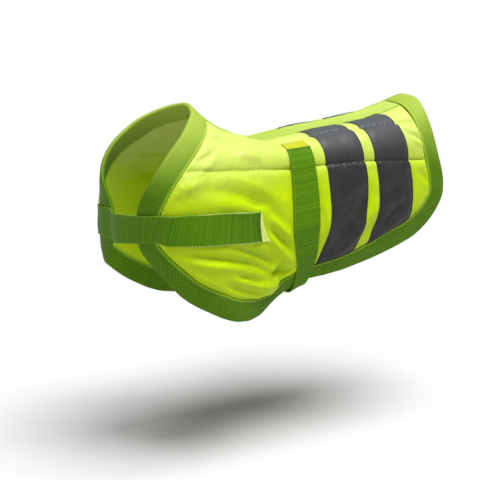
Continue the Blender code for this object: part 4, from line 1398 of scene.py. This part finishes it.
# Stage: a pale floor well below the coat, and the camera by its target, turn, rise and distance
stage = {
    "floorZ": -0.335,
    "target": (-0.02569, 0.0, -0.11034),
    "turn": -34.0,
    "rise": 13.0,
    "distance": 1.7,
    "pixelsPerMillimetre": 0.885,
    "imagePixels": 480.0,
    "sensor": 36.0,
}


def makeFloor():
    # One large square
    floor = bpy.data.meshes.new("floor")
    size, z = 30.0, stage["floorZ"]
    floor.from_pydata([(-size, -size, z), (size, -size, z), (size, size, z), (-size, size, z)], [],
                      [(0, 1, 2, 3)])
    floor.materials.append(startMaterial("paleFloor", Roughness=0.9, Specular_IOR_Level=0.1,
                                         Base_Color=paint(0.56, 0.56, 0.56))[0])
    piece = bpy.data.objects.new("floor", floor)
    bpy.context.scene.collection.objects.link(piece)


def makeCamera():
    # Its lens gives the wanted number of pixels a millimetre at the target
    camera = bpy.data.cameras.new("camera")
    camera.sensor_width = stage["sensor"]
    camera.lens = (stage["sensor"] * stage["pixelsPerMillimetre"] * stage["distance"] / mm
                   / stage["imagePixels"])
    holder = bpy.data.objects.new("camera", camera)
    turn, rise = math.radians(stage["turn"]), math.radians(stage["rise"])
    back = np.array([math.sin(turn) * math.cos(rise), -math.cos(turn) * math.cos(rise),
                     math.sin(rise)])
    holder.location = np.array(stage["target"]) + stage["distance"] * back
    holder.rotation_euler = (math.radians(90) - rise, 0.0, turn)
    bpy.context.scene.collection.objects.link(holder)
    bpy.context.scene.camera = holder
    bpy.context.scene.view_settings.view_transform = "Standard"


# Light: a broad soft sun overhead, a weak one from the camera's left, and an even pale sky
lights = {
    "overhead": (4.9, 73.0, -66.0, 38.0),
    "side": (0.35, 25.0, -150.0, 50.0),
    "sky": 0.26,
}


def makeLights():
    # Each sun: strength, height over the horizon, compass turn from +X and width, in degrees
    for name in ("overhead", "side"):
        strength, height, turn, wide = lights[name]
        lamp = bpy.data.lights.new(name, "SUN")
        lamp.energy = strength
        lamp.angle = math.radians(wide)
        holder = bpy.data.objects.new(name, lamp)
        holder.location = (0.0, 0.0, 1.5)
        holder.rotation_euler = (math.radians(90 - height), 0.0, math.radians(turn + 90))
        bpy.context.scene.collection.objects.link(holder)
    world = bpy.data.worlds.new("studio")
    world.use_nodes = True
    background = world.node_tree.nodes["Background"]
    background.inputs[0].default_value = (1.0, 1.0, 1.0, 1.0)
    background.inputs[1].default_value = lights["sky"]
    bpy.context.scene.world = world


makeFloor()
makeCamera()
makeLights()
print("stage ready")
